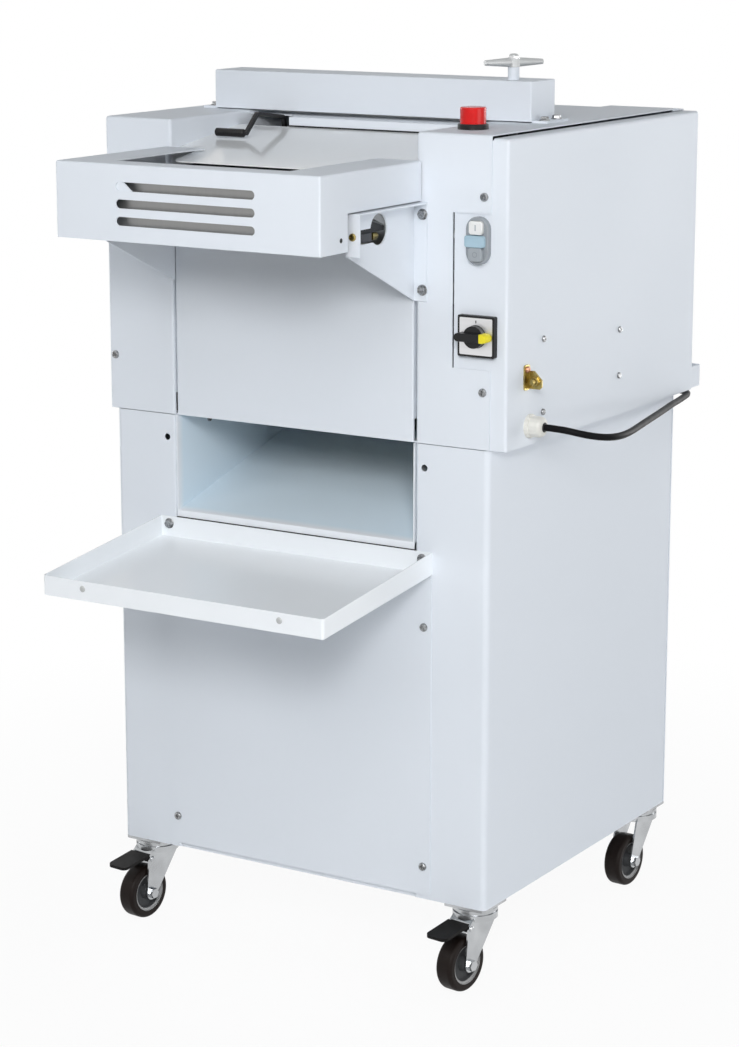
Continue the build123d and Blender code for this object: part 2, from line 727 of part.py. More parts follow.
# Brackets that carry the feed slide and guard, one at each side of the opening
bracket_x = OPENING_HALF - 2 * BRACKET_WEB
bracket_out = bracket_x + BRACKET_FLANGE


def bracket(sign):
    outline = [
        (0, PED_HEIGHT + BRACKET_LOW),
        (0, PED_HEIGHT + BRACKET_HIGH),
        (-BRACKET_REACH, PED_HEIGHT + BRACKET_HIGH),
        (-BRACKET_REACH, PED_HEIGHT + BRACKET_NOSE),
    ]
    with BuildPart() as piece:
        prism(side(sign * bracket_x), outline, sign * BRACKET_FLANGE)
        faces = piece.faces()
        outer = faces.sort_by(Axis.X)[-1 if sign > 0 else 0]
        sloping = faces.filter_by(lambda f: abs(f.normal_at().Y) > 0.1 and abs(f.normal_at().Z) > 0.1)
        offset(amount=-BRACKET_WEB, openings=[outer, sloping[0]], kind=Kind.INTERSECTION)
        bolts = [(sign * (OPENING_HALF + BRACKET_FLANGE / 2), z) for z in bracket_bolt_z]
        drill(front(0), bolts, BOLT_R + RUNNING, 2 * BRACKET_WEB)
    return piece


right_bracket = bracket(1)
with right_bracket:
    keyhole = (-KEYHOLE_Y, PED_HEIGHT + KEYHOLE_Z)
    with BuildSketch(side(bracket_x), mode=Mode.PRIVATE) as keyhole_shape:
        with Locations(keyhole):
            Circle(KEYHOLE_R)
        with Locations((keyhole[0] - KEYHOLE_REACH / 2, keyhole[1] - KEYHOLE_SLOT_DROP)):
            Rectangle(KEYHOLE_REACH, KEYHOLE_SLOT)
    extrude(keyhole_shape.sketch, amount=2 * BRACKET_WEB, both=True, mode=Mode.SUBTRACT)

with BuildPart() as guard_brackets:
    add(bracket(-1).part)
    add(right_bracket.part)
keep(guard_brackets, "guard_brackets")

# Stainless feed slide with cheeks, and the pivot pins of the guard
slide_fall = tan(radians(SLIDE_SLOPE))
slide_half = bracket_x - SEAT


def slide_z(y):
    return PED_HEIGHT + SLIDE_HIGH - slide_fall * (y + SLIDE_FRONT)


with BuildPart() as feed_slide:
    sheet_line = [
        (-SLIDE_FRONT, slide_z(-SLIDE_FRONT)),
        (SLIDE_BACK, slide_z(SLIDE_BACK)),
        (SLIDE_BACK, slide_z(SLIDE_BACK) - SHEET),
        (-SLIDE_FRONT, slide_z(-SLIDE_FRONT) - SHEET),
    ]
    prism(side(-slide_half), sheet_line, 2 * slide_half)
    cheek_foot = PED_HEIGHT + PIVOT_Z - 3 * PIVOT_R
    knee = -BRACKET_REACH - 2 * BEND
    cheek = [
        (-SLIDE_FRONT, slide_z(-SLIDE_FRONT)),
        (-WINDOW_FRONT, slide_z(-WINDOW_FRONT) + CHEEK_RISE),
        (SLIDE_BACK, slide_z(SLIDE_BACK) + CHEEK_RISE),
        (SLIDE_BACK, slide_z(SLIDE_BACK) - CHEEK_DROP),
        (knee, slide_z(knee) - CHEEK_DROP),
        (knee, cheek_foot),
        (-SLIDE_FRONT, cheek_foot),
    ]
    block(-slide_half, slide_half, -SLIDE_FRONT, SHEET - SLIDE_FRONT, cheek_foot, slide_z(-SLIDE_FRONT))
    for sign in (-1, 1):
        prism(side(sign * slide_half), cheek, -sign * SHEET)
        pin = (-PIVOT_Y, PED_HEIGHT + PIVOT_Z)
        rod(side(sign * slide_half), pin, 2 * PIVOT_R, sign * (GUARD_HALF - SHEET - SEAT - slide_half))
        rod(side(sign * slide_half), pin, PIVOT_R, sign * (GUARD_HALF - slide_half))
keep(feed_slide, "feed_slide")

# Feed guard that tips forward on those pins
with BuildPart() as feed_guard:
    guard_low = PED_HEIGHT + GUARD_LOW
    guard_high = PED_HEIGHT + GUARD_HIGH
    block(-GUARD_HALF, GUARD_HALF, -GUARD_FRONT, -GUARD_BACK_GAP, guard_low, guard_high)
    rounded = feed_guard.edges().filter_by(Axis.Z).group_by(Axis.Y)[0]
    upper = feed_guard.edges().group_by(Axis.Z)[-1]
    rounded += upper.filter_by(Axis.Y) + upper.filter_by(Axis.X).sort_by(Axis.Y)[0:1]
    fillet(rounded, BEND / 2 + SHEET / 2)
    faces = feed_guard.faces()
    offset(amount=-SHEET, openings=[faces.sort_by(Axis.Y)[-1], faces.sort_by(Axis.Z)[0]])
    block(-WINDOW_HALF, WINDOW_HALF, -WINDOW_FRONT, 0, guard_high - 2 * BEND, guard_high + CUT, Mode.SUBTRACT)
    notch_high = PED_HEIGHT + NOTCH_HIGH
    block(-GUARD_HALF, GUARD_HALF, -NOTCH_FRONT, 0, guard_low, notch_high, Mode.SUBTRACT)
    with BuildSketch(front(-GUARD_FRONT)):
        slot_z = [PED_HEIGHT + SLOT_TOP - row * SLOT_PITCH for row in range(3)]
        with Locations(*[(0, z) for z in slot_z]):
            SlotOverall(SLOT_LENGTH, SLOT_WIDTH)
    extrude(amount=2 * SHEET, both=True, mode=Mode.SUBTRACT)
    drill(side(0), [(-PIVOT_Y, PED_HEIGHT + PIVOT_Z)], PIVOT_R + RUNNING, GUARD_HALF + CUT)
keep(feed_guard, "feed_guard")

# Interlock switch behind the keyhole of the right bracket
with BuildPart() as interlock_switch:
    body_x = bracket_x - INTERLOCK_WIDTH
    body_z = PED_HEIGHT + KEYHOLE_Z
    foot_end = -KEYHOLE_Y - KEYHOLE_REACH
    block(body_x, bracket_x, foot_end - INTERLOCK_FOOT, foot_end,
          body_z - KEYHOLE_SLOT, body_z + KEYHOLE_SLOT)
    fillet(interlock_switch.edges().filter_by(Axis.X), BEND / 2)
    plunger = [
        (foot_end - BEND, body_z - INTERLOCK_LOW),
        (foot_end - BEND, body_z + INTERLOCK_HIGH),
        (-KEYHOLE_Y - KEYHOLE_R / 2, body_z + INTERLOCK_HIGH),
        (-KEYHOLE_Y + INTERLOCK_REACH, body_z + INTERLOCK_NOSE),
        (-KEYHOLE_Y + INTERLOCK_REACH, body_z - INTERLOCK_LOW),
    ]
    prism(side(body_x), plunger, INTERLOCK_WIDTH - BRACKET_WEB)
keep(interlock_switch, "interlock_switch")


def along_gap(point, across):
    """Point of the bearing slot: distance from the rear roller's axis, and sideways."""
    return (
        rear_c[0] + point * gap_dir[0] - across * gap_dir[1],
        rear_c[1] + point * gap_dir[1] + across * gap_dir[0],
    )


def gap_rectangle(low, high, half_width):
    return [
        along_gap(low, -half_width),
        along_gap(high, -half_width),
        along_gap(high, half_width),
        along_gap(low, half_width),
    ]


# Frame plates that carry every shaft, inside the towers
def frame_plate(sign):
    plane = side(sign * frame_in)
    thick = sign * FRAME_THICK
    with BuildPart() as piece:
        outline = [
            (FRAME_FRONT, pan_top),
            (FRAME_BACK, pan_top),
            (FRAME_BACK, head_top - BEND - SEAT),
            (FRAME_FRONT, head_top - BEND - SEAT),
        ]
        prism(plane, outline, thick)
        fillet(piece.edges().filter_by(Axis.X), BEND)
        drill(plane, [front_c, drive_c, idler_c], BEARING_R + RUNNING, 2 * FRAME_THICK)
        drill(plane, [lever_c], LEVER_SHAFT_R + RUNNING, 2 * FRAME_THICK)
        slot_low = -BLOCK_LENGTH / 2 - SLOT_ROOM
        slot_high = BLOCK_LENGTH / 2 + GAP_TRAVEL + SLOT_ROOM
        slot = gap_rectangle(slot_low, slot_high, BLOCK_WIDTH / 2 + SEAT)
        prism(plane, slot, thick, Mode.SUBTRACT)
        block(
            *sorted((sign * (frame_in - CUT), sign * (frame_out + CUT))),
            SPINDLE_Y - ARM_WIDTH / 2 - SEAT, SPINDLE_Y + ARM_WIDTH / 2 + SEAT,
            board_low - BOARD_DOWN - SLOT_ROOM, board_low + BOARD_THICK + BOARD_UP + SLOT_ROOM, Mode.SUBTRACT,
        )
    return piece


with BuildPart() as frame_plates:
    add(frame_plate(-1).part)
    add(frame_plate(1).part)
keep(frame_plates, "frame_plates")

with BuildPart() as shaft_bearings:
    for sign in (-1, 1):
        for centre in (front_c, drive_c, idler_c):
            rod(side(sign * frame_in), centre, BEARING_R, sign * FRAME_THICK)
    drill(side(0), [front_c, drive_c, idler_c], SHAFT_R + RUNNING, frame_out + CUT)
keep(shaft_bearings, "shaft_bearings")


# Involute spur gears
def gear_points(teeth, phase):
    """Outline of a spur gear about the origin, with a tooth centred at the phase angle."""
    pressure = radians(20)
    pitch_r = GEAR_MODULE * teeth / 2
    base_r = pitch_r * cos(pressure)
    tip_r = pitch_r + GEAR_MODULE
    root_r = pitch_r - 1.25 * GEAR_MODULE
    start_r = max(base_r, root_r)
    half_tooth = pi / (2 * teeth) - BACKLASH / (4 * pitch_r)
    flank = []
    for step in range(4):
        r = start_r + (tip_r - start_r) * step / 3
        alpha = acos(min(1.0, base_r / r))
        lean = half_tooth + (tan(pressure) - pressure) - (tan(alpha) - alpha)
        flank.append((r, lean))
    foot = [(root_r, flank[0][1])] if root_r < start_r else []
    rising = [(r, -lean) for r, lean in foot + flank]
    falling = [(r, lean) for r, lean in reversed(foot + flank)]
    points = []
    for tooth in range(teeth):
        middle = phase + 2 * pi * tooth / teeth
        points += [(r * cos(middle + a), r * sin(middle + a)) for r, a in rising + falling]
    return points


def mesh_phase(phase, teeth, direction, other_teeth):
    """Phase of a second gear, in mesh with the first, that lies in the given direction."""
    share = (direction - phase) * teeth / (2 * pi)
    return direction + pi - (0.5 - share) * 2 * pi / other_teeth


def gear(centre, teeth, phase):
    outline = [(centre[0] + y, centre[1] + z) for y, z in gear_points(teeth, phase)]
    with BuildPart() as piece:
        prism(side(-gear_start), outline, -GEAR_WIDTH)
        drill(side(-gear_start), [centre], SHAFT_R + RUNNING, 2 * GEAR_WIDTH)
    return piece


front_phase = radians(GAP_ANGLE)
rear_phase = mesh_phase(front_phase, ROLLER_TEETH, radians(GAP_ANGLE), ROLLER_TEETH)
drive_phase = mesh_phase(front_phase, ROLLER_TEETH, radians(DRIVE_ANGLE), DRIVE_TEETH)
keep(gear(front_c, ROLLER_TEETH, front_phase), "front_roller_gear")
keep(gear(rear_c, ROLLER_TEETH, rear_phase), "rear_roller_gear")
keep(gear(drive_c, DRIVE_TEETH, drive_phase), "drive_gear")


# Rollers: a drum turned in one piece with its shaft
def roller(centre, radius, half_length, left_end, right_end):
    with BuildPart() as piece:
        with BuildSketch(Plane(origin=at(0, *centre))):
            with BuildLine():
                Polyline(
                    (-left_end, 0), (-left_end, SHAFT_R), (-half_length - BOSS, SHAFT_R),
                    (-half_length, BOSS_R), (-half_length, radius - EDGE), (EDGE - half_length, radius),
                    (half_length - EDGE, radius), (half_length, radius - EDGE), (half_length, BOSS_R),
                    (half_length + BOSS, SHAFT_R), (right_end, SHAFT_R), (right_end, 0), close=True,
                )
            make_face()
        revolve(axis=Axis(at(0, *centre), (1, 0, 0)))
    return piece


keep(roller(front_c, ROLLER_R, ROLLER_HALF, gear_end, frame_out), "front_roller")
keep(roller(rear_c, ROLLER_R, ROLLER_HALF, gear_end, frame_out), "rear_roller")
gearbox_out = frame_out + GEARBOX_WIDTH
keep(roller(drive_c, BELT_ROLLER_R, BELT_HALF, gear_end, gearbox_out), "drive_roller")
keep(roller(idler_c, BELT_ROLLER_R, BELT_HALF, frame_out, frame_out), "idler_roller")

cam_reach = CAM_R + CAM_OFFSET * cos(radians(CAM_ANGLE))

# Bearing blocks of the rear roller, which slide in the frame plates
with BuildPart() as roller_carriage:
    for sign in (-1, 1):
        half = BLOCK_LENGTH / 2
        inner = gap_rectangle(-half, half, BLOCK_WIDTH / 2)
        prism(side(sign * (frame_in + SEAT)), inner, sign * (FRAME_THICK + BLOCK_FLANGE_THICK))
        flange = gap_rectangle(-half, half, BLOCK_FLANGE / 2)
        prism(side(sign * (frame_out + SEAT)), flange, sign * BLOCK_FLANGE_THICK)
        push_arm = gap_rectangle(half, LEVER_DISTANCE - cam_reach - SEAT, PUSH_ARM / 2)
        prism(side(sign * (frame_out + SEAT)), push_arm, sign * BLOCK_FLANGE_THICK)
    drill(side(0), [rear_c], SHAFT_R + RUNNING, frame_out + 3 * BLOCK_FLANGE_THICK)
keep(roller_carriage, "roller_carriage")

# Gap lever: cross shaft with a cam at each end and a cranked arm
cam_angle = radians(GAP_ANGLE + 180 - CAM_ANGLE)
cam_c = (lever_c[0] + CAM_OFFSET * cos(cam_angle), lever_c[1] + CAM_OFFSET * sin(cam_angle))
with BuildPart() as gap_lever:
    cam_end = frame_out + SEAT + BLOCK_FLANGE_THICK
    rod(side(-cam_end), lever_c, LEVER_SHAFT_R, 2 * cam_end)
    for sign in (-1, 1):
        rod(side(sign * (frame_out + SEAT)), cam_c, CAM_R, sign * BLOCK_FLANGE_THICK)
    grip_c = (GRIP_Y, PED_HEIGHT + GRIP_Z)
    arm_line = [
        lever_c,
        (lever_c[0] - LEVER_THICK, lever_c[1] + LEVER_RISE),
        (GRIP_Y + LEVER_CRANK, grip_c[1] + LEVER_RISE),
        grip_c,
    ]
    with BuildSketch(side(-LEVER_X + LEVER_THICK / 2)):
        with BuildLine():
            FilletPolyline(*arm_line, radius=LEVER_THICK)
        trace(line_width=LEVER_THICK)
    extrude(amount=-LEVER_THICK)
    rod(side(-LEVER_X + LEVER_THICK / 2), grip_c, GRIP_R / 2, -LEVER_THICK - GRIP_LENGTH / 2)
keep(gap_lever, "gap_lever")

with BuildPart() as lever_grip:
    grip_plane = side(-LEVER_X - LEVER_THICK / 2)
    rod(grip_plane, grip_c, GRIP_R, -GRIP_LENGTH)
    fillet(lever_grip.edges(), EDGE)
    drill(grip_plane, [grip_c], GRIP_R / 2 + RUNNING, GRIP_LENGTH / 2 + CUT)
keep(lever_grip, "lever_grip")

# Moulding belt round the drive and idler rollers
with BuildPart() as moulding_belt:
    with BuildSketch(side(-BELT_HALF)):
        with Locations(((drive_c[0] + idler_c[0]) / 2, drive_c[1])):
            SlotCenterToCenter(BELT_LENGTH, 2 * (belt_r + BELT_THICK))
            SlotCenterToCenter(BELT_LENGTH, 2 * belt_r, mode=Mode.SUBTRACT)
    extrude(amount=2 * BELT_HALF)
keep(moulding_belt, "moulding_belt")

# Pressure board, with arms through the frame plates and the nut on the spindle
with BuildPart() as pressure_board:
    block(-BOARD_HALF, BOARD_HALF, BOARD_FRONT, BOARD_BACK, board_low, board_low + BOARD_THICK)
    fillet(pressure_board.edges().filter_by(Axis.X).group_by(Axis.Z)[0], BEND)
    arm = (SPINDLE_Y - ARM_WIDTH / 2, SPINDLE_Y + ARM_WIDTH / 2)
    block(-frame_out - BEND, SPINDLE_X, *arm, board_low, board_low + BOARD_THICK)
    rod(level(arm_z - NUT_HEIGHT / 2), (SPINDLE_X, SPINDLE_Y), NUT_R, NUT_HEIGHT)
    frame_gap = (frame_in - SEAT, frame_out + SEAT)
    nut_span = (board_low - NUT_HEIGHT, board_low + NUT_HEIGHT)
    block(*frame_gap, SPINDLE_Y - NUT_R, arm[0], *nut_span, Mode.SUBTRACT)
    block(*frame_gap, arm[1], SPINDLE_Y + NUT_R, *nut_span, Mode.SUBTRACT)
    block(*frame_gap, *arm, board_low + BOARD_THICK, nut_span[1], Mode.SUBTRACT)
    block(*frame_gap, *arm, nut_span[0], board_low, Mode.SUBTRACT)
    drill(level(arm_z), [(SPINDLE_X, SPINDLE_Y)], SPINDLE_R + RUNNING, NUT_HEIGHT)
keep(pressure_board, "pressure_board")

# Pressure spindle with its two-armed handle and dome nut
hub_low = bar_top + POST_HEIGHT + SEAT
hub_top = hub_low + HUB_HEIGHT
spindle_c = (SPINDLE_X, SPINDLE_Y)
with BuildPart() as pressure_handle:
    rod(level(hub_low), spindle_c, HUB_R, HUB_HEIGHT)
    handle_dir = Vector(cos(radians(HANDLE_ANGLE)), sin(radians(HANDLE_ANGLE)), 0)
    handle_plane = Plane(origin=at(*spindle_c, hub_low + HUB_HEIGHT / 2), x_dir=handle_dir, z_dir=(0, 0, 1))
    with BuildSketch(handle_plane):
        with BuildLine():
            half = HANDLE_LENGTH / 2
            Polyline(
                (-half, 0), (-half, HANDLE_TIP_R), (-HUB_R, HANDLE_ROOT_R), (HUB_R, HANDLE_ROOT_R),
                (half, HANDLE_TIP_R), (half, 0), close=True,
            )
        make_face()
    revolve(axis=Axis(handle_plane.origin, handle_dir))
    rod(level(hub_top), spindle_c, DOME_R, DOME_HEIGHT)
    fillet(pressure_handle.edges().sort_by(Axis.Z)[-1], DOME_HEIGHT - EDGE)
    spindle_low = arm_z - NUT_HEIGHT / 2 - BOARD_DOWN - BEND
    rod(level(spindle_low), spindle_c, SPINDLE_R, hub_low - spindle_low)
keep(pressure_handle, "pressure_handle")

# Worm gearmotor on the right frame plate
with BuildPart() as gearmotor:
    motor_c = (MOTOR_X, PED_HEIGHT + MOTOR_RISE)
    block(frame_out, gearbox_out, GEARBOX_FRONT, GEARBOX_BACK,
          PED_HEIGHT + GEARBOX_LOW, PED_HEIGHT + GEARBOX_HIGH)
    fillet(gearmotor.edges().filter_by(Axis.X), 2 * CORNER_BEND)
    rod(front(GEARBOX_BACK), motor_c, MOTOR_NECK_R, -MOTOR_NECK)
    rod(front(GEARBOX_BACK + MOTOR_NECK), motor_c, MOTOR_R, MOTOR_NECK - MOTOR_LENGTH)
    fillet(gearmotor.edges().sort_by(Axis.Y)[-1], BEND)
    drill(side(frame_out), [drive_c], SHAFT_R + RUNNING, GEARBOX_WIDTH + CUT)
keep(gearmotor, "gearmotor")

# Main switch on the control tab
switch_c = (CONTROL_X, PED_HEIGHT + SWITCH_Z)
with BuildPart() as switch_body:
    with BuildSketch(front(tab_face)):
        with Locations(switch_c):
            RectangleRounded(SWITCH_SIZE, SWITCH_SIZE, BEND / 2)
    extrude(amount=SWITCH_THICK)
    rod(front(tab_face), switch_c, KNOB_R / 2 - SEAT, -3 * SWITCH_THICK)
    rod(front(tab_face - SWITCH_THICK), switch_c, KNOB_R / 3 + RUNNING, -SWITCH_THICK, Mode.SUBTRACT)
keep(switch_body, "switch_body")

with BuildPart() as switch_knob:
    knob_face = tab_face - SWITCH_THICK - SEAT
    rod(front(knob_face), switch_c, KNOB_R, SWITCH_THICK)
    rod(front(knob_face), switch_c, KNOB_R / 3, EDGE - SWITCH_THICK)
    with BuildSketch(front(knob_face)):
        with Locations(switch_c):
            SlotOverall(KNOB_LENGTH, KNOB_BAR)
    extrude(amount=2 * SWITCH_THICK)
    fillet(switch_knob.faces().sort_by(Axis.Y)[0].edges(), EDGE)
keep(switch_knob, "switch_knob")

# Double push button under a raised surround
button_c = (CONTROL_X, PED_HEIGHT + BUTTON_Z)
with BuildPart() as button_housing:
    with BuildSketch(front(tab_face)):
        with Locations(button_c):
            SlotOverall(BUTTON_HEIGHT, BUTTON_WIDTH, rotation=90)
    extrude(amount=BUTTON_PROUD)
    fillet(button_housing.faces().sort_by(Axis.Y)[0].edges(), BEND / 2)
    with BuildSketch(front(tab_face - BUTTON_PROUD)):
        with Locations(*caps):
            RectangleRounded(CAP_WIDTH + 2 * SEAT, CAP_HEIGHT + 2 * SEAT, BEND)
    extrude(amount=-BUTTON_PROUD + SHEET, mode=Mode.SUBTRACT)
keep(button_housing, "button_housing")


def push_cap(centre, proud):
    with BuildPart() as piece:
        with BuildSketch(front(tab_face - SHEET - BUTTON_TRAVEL - SEAT)):
            with Locations(centre):
                RectangleRounded(CAP_WIDTH, CAP_HEIGHT, BEND)
        extrude(amount=BUTTON_PROUD - SHEET - BUTTON_TRAVEL - SEAT + proud)
        fillet(piece.faces().sort_by(Axis.Y)[0].edges(), EDGE)
    return piece


keep(push_cap(caps[1], BUTTON_TRAVEL + EDGE), "start_button")
keep(push_cap(caps[0], BUTTON_TRAVEL + 2 * EDGE), "stop_button")

# Emergency stop on the right tower's top
estop_c = (ESTOP_X, ESTOP_Y)
with BuildPart() as estop_base:
    rod(level(head_top), estop_c, ESTOP_BASE_R, ESTOP_BASE_HEIGHT)
    chamfer(estop_base.edges().sort_by(Axis.Z)[-1], EDGE)
    rod(level(head_top + SHEET), estop_c, ESTOP_R + SEAT, ESTOP_BASE_HEIGHT, Mode.SUBTRACT)
    rod(level(head_top + SHEET), estop_c, ESTOP_R / 2 - SEAT, -5 * CORNER_BEND)
    rod(level(head_top + SHEET), estop_c, ESTOP_R / 4 + RUNNING, -2 * CORNER_BEND, Mode.SUBTRACT)
keep(estop_base, "estop_base")

with BuildPart() as estop_button:
    estop_low = head_top + SHEET + SEAT + ESTOP_TRAVEL
    rod(level(estop_low), estop_c, ESTOP_R, ESTOP_HEIGHT)
    fillet(estop_button.edges().sort_by(Axis.Z)[-1], BEND / 2)
    rod(level(estop_low), estop_c, ESTOP_R / 4, -CORNER_BEND)
keep(estop_button, "estop_button")

# Earth terminal: an angle with a stud through its standing leg
with BuildPart() as earth_terminal:
    earth_z = PED_HEIGHT + EARTH_Z
    earth_back = EARTH_Y + EARTH_HALF
    leg_front = earth_back - EARTH_SHEET
    block(cover_x, cover_x + EARTH_SHEET, EARTH_Y - EARTH_HALF, earth_back,
          earth_z - EARTH_DOWN, earth_z + EARTH_UP)
    fillet(earth_terminal.edges().filter_by(Axis.X), BEND)
    block(cover_x, cover_x + EARTH_REACH, leg_front, earth_back,
          earth_z - EARTH_DOWN + EDGE, earth_z + EARTH_TAB_UP)
    stud_c = (cover_x + EARTH_REACH - EARTH_STUD_IN, earth_z - EARTH_STUD_DROP)
    rod(front(earth_back), stud_c, EARTH_STUD_R, -EARTH_STUD)
    rod(front(earth_back), stud_c, EARTH_NUT_R, -EARTH_NUT)
    rod(front(leg_front), stud_c, EARTH_NUT_R, EARTH_NUT - EDGE)
    rod(side(cover_x + EARTH_SHEET), (EARTH_Y, earth_z + EARTH_SCREW_UP), EARTH_SCREW_R, EARTH_SHEET)
keep(earth_terminal, "earth_terminal")

with BuildPart() as cable_gland:
    gland_c = (GLAND_Y, PED_HEIGHT + GLAND_Z)
    with BuildSketch(Plane(origin=at(cover_x, *gland_c))):
        with BuildLine():
            Polyline(
                (0, 0), (0, GLAND_FLANGE_R), (GLAND_FLANGE, GLAND_FLANGE_R), (GLAND_FLANGE, GLAND_R),
                (GLAND_REACH - GLAND_FLANGE, GLAND_R), (GLAND_REACH, GLAND_END_R), (GLAND_REACH, 0),
                close=True,
            )
        make_face()
    revolve(axis=Axis(at(cover_x, *gland_c), (1, 0, 0)))
keep(cable_gland, "cable_gland")


# Screws of the casing, as separate solids of one group
def pan_head(plane, centre, outward, head_r):
    rod(plane, centre, head_r, outward * SCREW_HEAD)
    rod(plane, centre, SCREW_R, -outward * 3 * SHEET)


with BuildPart() as panel_screws:
    for point in panel_screw_points(-1) + panel_screw_points(1):
        pan_head(front(-SHEET), point, 1, SCREW_HEAD_R)
    for point in back_screw_points(-1, PED_LEFT) + back_screw_points(1, PED_RIGHT):
        pan_head(front(PED_DEPTH + SHEET), point, -1, SCREW_HEAD_R)
    for point in tower_screws:
        pan_head(front(0), point, 1, SCREW_HEAD_R)
    for point in cover_screws:
        pan_head(side(cover_x), point, 1, COVER_HEAD_R)
keep(panel_screws, "panel_screws")


# Hex bolts of the tray, the brackets and the bar
def hex_bolt(plane, centre, grip):
    with BuildSketch(plane, mode=Mode.PRIVATE) as head:
        with Locations(centre):
            RegularPolygon(BOLT_FLATS / 2, 6, major_radius=False)
    extrude(head.sketch, amount=BOLT_HEAD)
    rod(plane, centre, BOLT_R, -grip)


with BuildPart() as hex_bolts:
    for point in tray_holes:
        hex_bolt(front(-SHEET), point, 6 * SHEET)
    for sign in (-1, 1):
        for z in bracket_bolt_z:
            hex_bolt(front(-BRACKET_WEB), (sign * (OPENING_HALF + BRACKET_FLANGE / 2), z), 6 * SHEET)
    for point in bar_bolts:
        hex_bolt(level(head_top + BAR_FOOT_THICK), point, BAR_FOOT_THICK)
keep(hex_bolts, "hex_bolts")


# Casters: plate, swivelling fork, wheel and brake pedal
class Caster:
    """Axes of one caster: u along its trail, v along its axle, w up."""

    def __init__(self, name, x, y, turn, braked):
        self.name = name
        self.centre = Vector(*at(x, y, 0))
        self.u = Vector(-sin(radians(turn)), -cos(radians(turn)), 0)
        self.v = Vector(0, 0, 1).cross(self.u)
        self.braked = braked

    def upright(self, v):
        """Sketch plane with local (u, w), at a distance along the axle."""
        return Plane(origin=self.centre + self.v * v, x_dir=self.u, z_dir=self.u.cross(Vector(0, 0, 1)))

    def flat(self, w):
        """Sketch plane with local (u, v), at a height under the pedestal."""
        return Plane(origin=self.centre + Vector(0, 0, w), x_dir=self.u, z_dir=(0, 0, 1))


rear_y = PED_DEPTH - REAR_INSET
casters = [
    Caster("front_left", -PED_LEFT + CASTER_INSET, CASTER_INSET, 6, True),
    Caster("front_right", PED_RIGHT - CASTER_INSET, CASTER_INSET, 8, True),
    Caster("rear_left", -PED_LEFT + CASTER_INSET, rear_y, 20, False),
    Caster("rear_right", PED_RIGHT - CASTER_INSET, rear_y, 4, False),
]
axle_w = WHEEL_R - CASTER_HEIGHT
race_low = -3 * PLATE_THICK
fork_top = race_low - SEAT
fork_low = fork_top - 2 * PLATE_THICK
axle_c = (TRAIL, axle_w)
pedal_c = (PEDAL_U, PEDAL_W)

with BuildPart() as caster_plates:
    for caster in casters:
        with BuildSketch(Plane(origin=caster.centre), mode=Mode.PRIVATE) as plate:
            RectangleRounded(2 * PLATE_HALF, 2 * PLATE_HALF, BEND)
        extrude(plate.sketch, amount=-PLATE_THICK)
        rod(caster.flat(-PLATE_THICK), (0, 0), RACE_R - BEND / 2, race_low + PLATE_THICK)
        rod(caster.flat(-PLATE_THICK - RACE_STEP), (0, 0), RACE_R, -PLATE_THICK)
        rod(caster.flat(race_low), (0, 0), KINGPIN_R, fork_low - SEAT - race_low)
        rod(caster.flat(fork_low - SEAT), (0, 0), 2 * KINGPIN_R, -PLATE_THICK)
keep(caster_plates, "caster_plates")


def fork(caster):
    reach = FORK_GAP / 2 + FORK_SHEET
    with BuildPart() as piece:
        rod(caster.flat(fork_low), (0, 0), RACE_R, fork_top - fork_low)
        with BuildSketch(caster.upright(0), mode=Mode.PRIVATE) as leg:
            with Locations(axle_c):
                Circle(FORK_EYE_R)
            with Locations((0, fork_low + FORK_SHEET)):
                Rectangle(FORK_TOP, 2 * FORK_SHEET)
            if caster.braked:
                with Locations(pedal_c):
                    Circle(PEDAL_EYE_R)
            make_hull()
        extrude(leg.sketch, amount=reach, both=True)
        with BuildSketch(caster.upright(0), mode=Mode.PRIVATE) as inside:
            with Locations((0, fork_low - 2 * WHEEL_R)):
                Rectangle(6 * WHEEL_R, 4 * WHEEL_R)
        extrude(inside.sketch, amount=FORK_GAP / 2, both=True, mode=Mode.SUBTRACT)
        if caster.braked:
            drill(caster.upright(0), [pedal_c], PEDAL_PIN_R + RUNNING, 2 * reach)
        for end in (-1, 1):
            rod(caster.upright(0), axle_c, AXLE_R, end * reach)
            with BuildSketch(caster.upright(-end * reach), mode=Mode.PRIVATE) as nut:
                with Locations(axle_c):
                    RegularPolygon(AXLE_NUT / 2, 6, major_radius=False)
            extrude(nut.sketch, amount=end * AXLE_NUT_HEIGHT)
        bore = KINGPIN_R + RUNNING
        rod(caster.flat(fork_low - CUT), (0, 0), bore, fork_top - fork_low + 2 * CUT, Mode.SUBTRACT)
    return piece


def wheel(caster):
    half = TYRE_WIDTH / 2
    hub = FORK_GAP / 2 - SEAT
    plane = caster.upright(0)
    axle = plane.from_local_coords(Vector(TRAIL, axle_w, 0))
    section = Plane(origin=axle, x_dir=caster.v, z_dir=caster.u)
    with BuildPart() as piece:
        with BuildSketch(section) as rim:
            with BuildLine():
                Polyline(
                    (-hub, AXLE_R + RUNNING), (-hub, HUB_END_R), (-WEB, HUB_FOOT_R), (-WEB, RIM_FOOT_R),
                    (-half + LIP_IN, LIP_R), (-half + LIP_IN, RIM_R), (half - LIP_IN, RIM_R),
                    (half - LIP_IN, LIP_R), (WEB, RIM_FOOT_R), (WEB, HUB_FOOT_R), (hub, HUB_END_R),
                    (hub, AXLE_R + RUNNING), close=True,
                )
            make_face()
        revolve(axis=Axis(axle, caster.v))
        with BuildSketch(section) as tyre:
            with Locations((0, (RIM_R + RUNNING + WHEEL_R) / 2)):
                Rectangle(TYRE_WIDTH, WHEEL_R - RIM_R - RUNNING)
            fillet(tyre.vertices().group_by(Axis.Y)[-1], TREAD_ROUND)
        revolve(axis=Axis(axle, caster.v))
    return piece


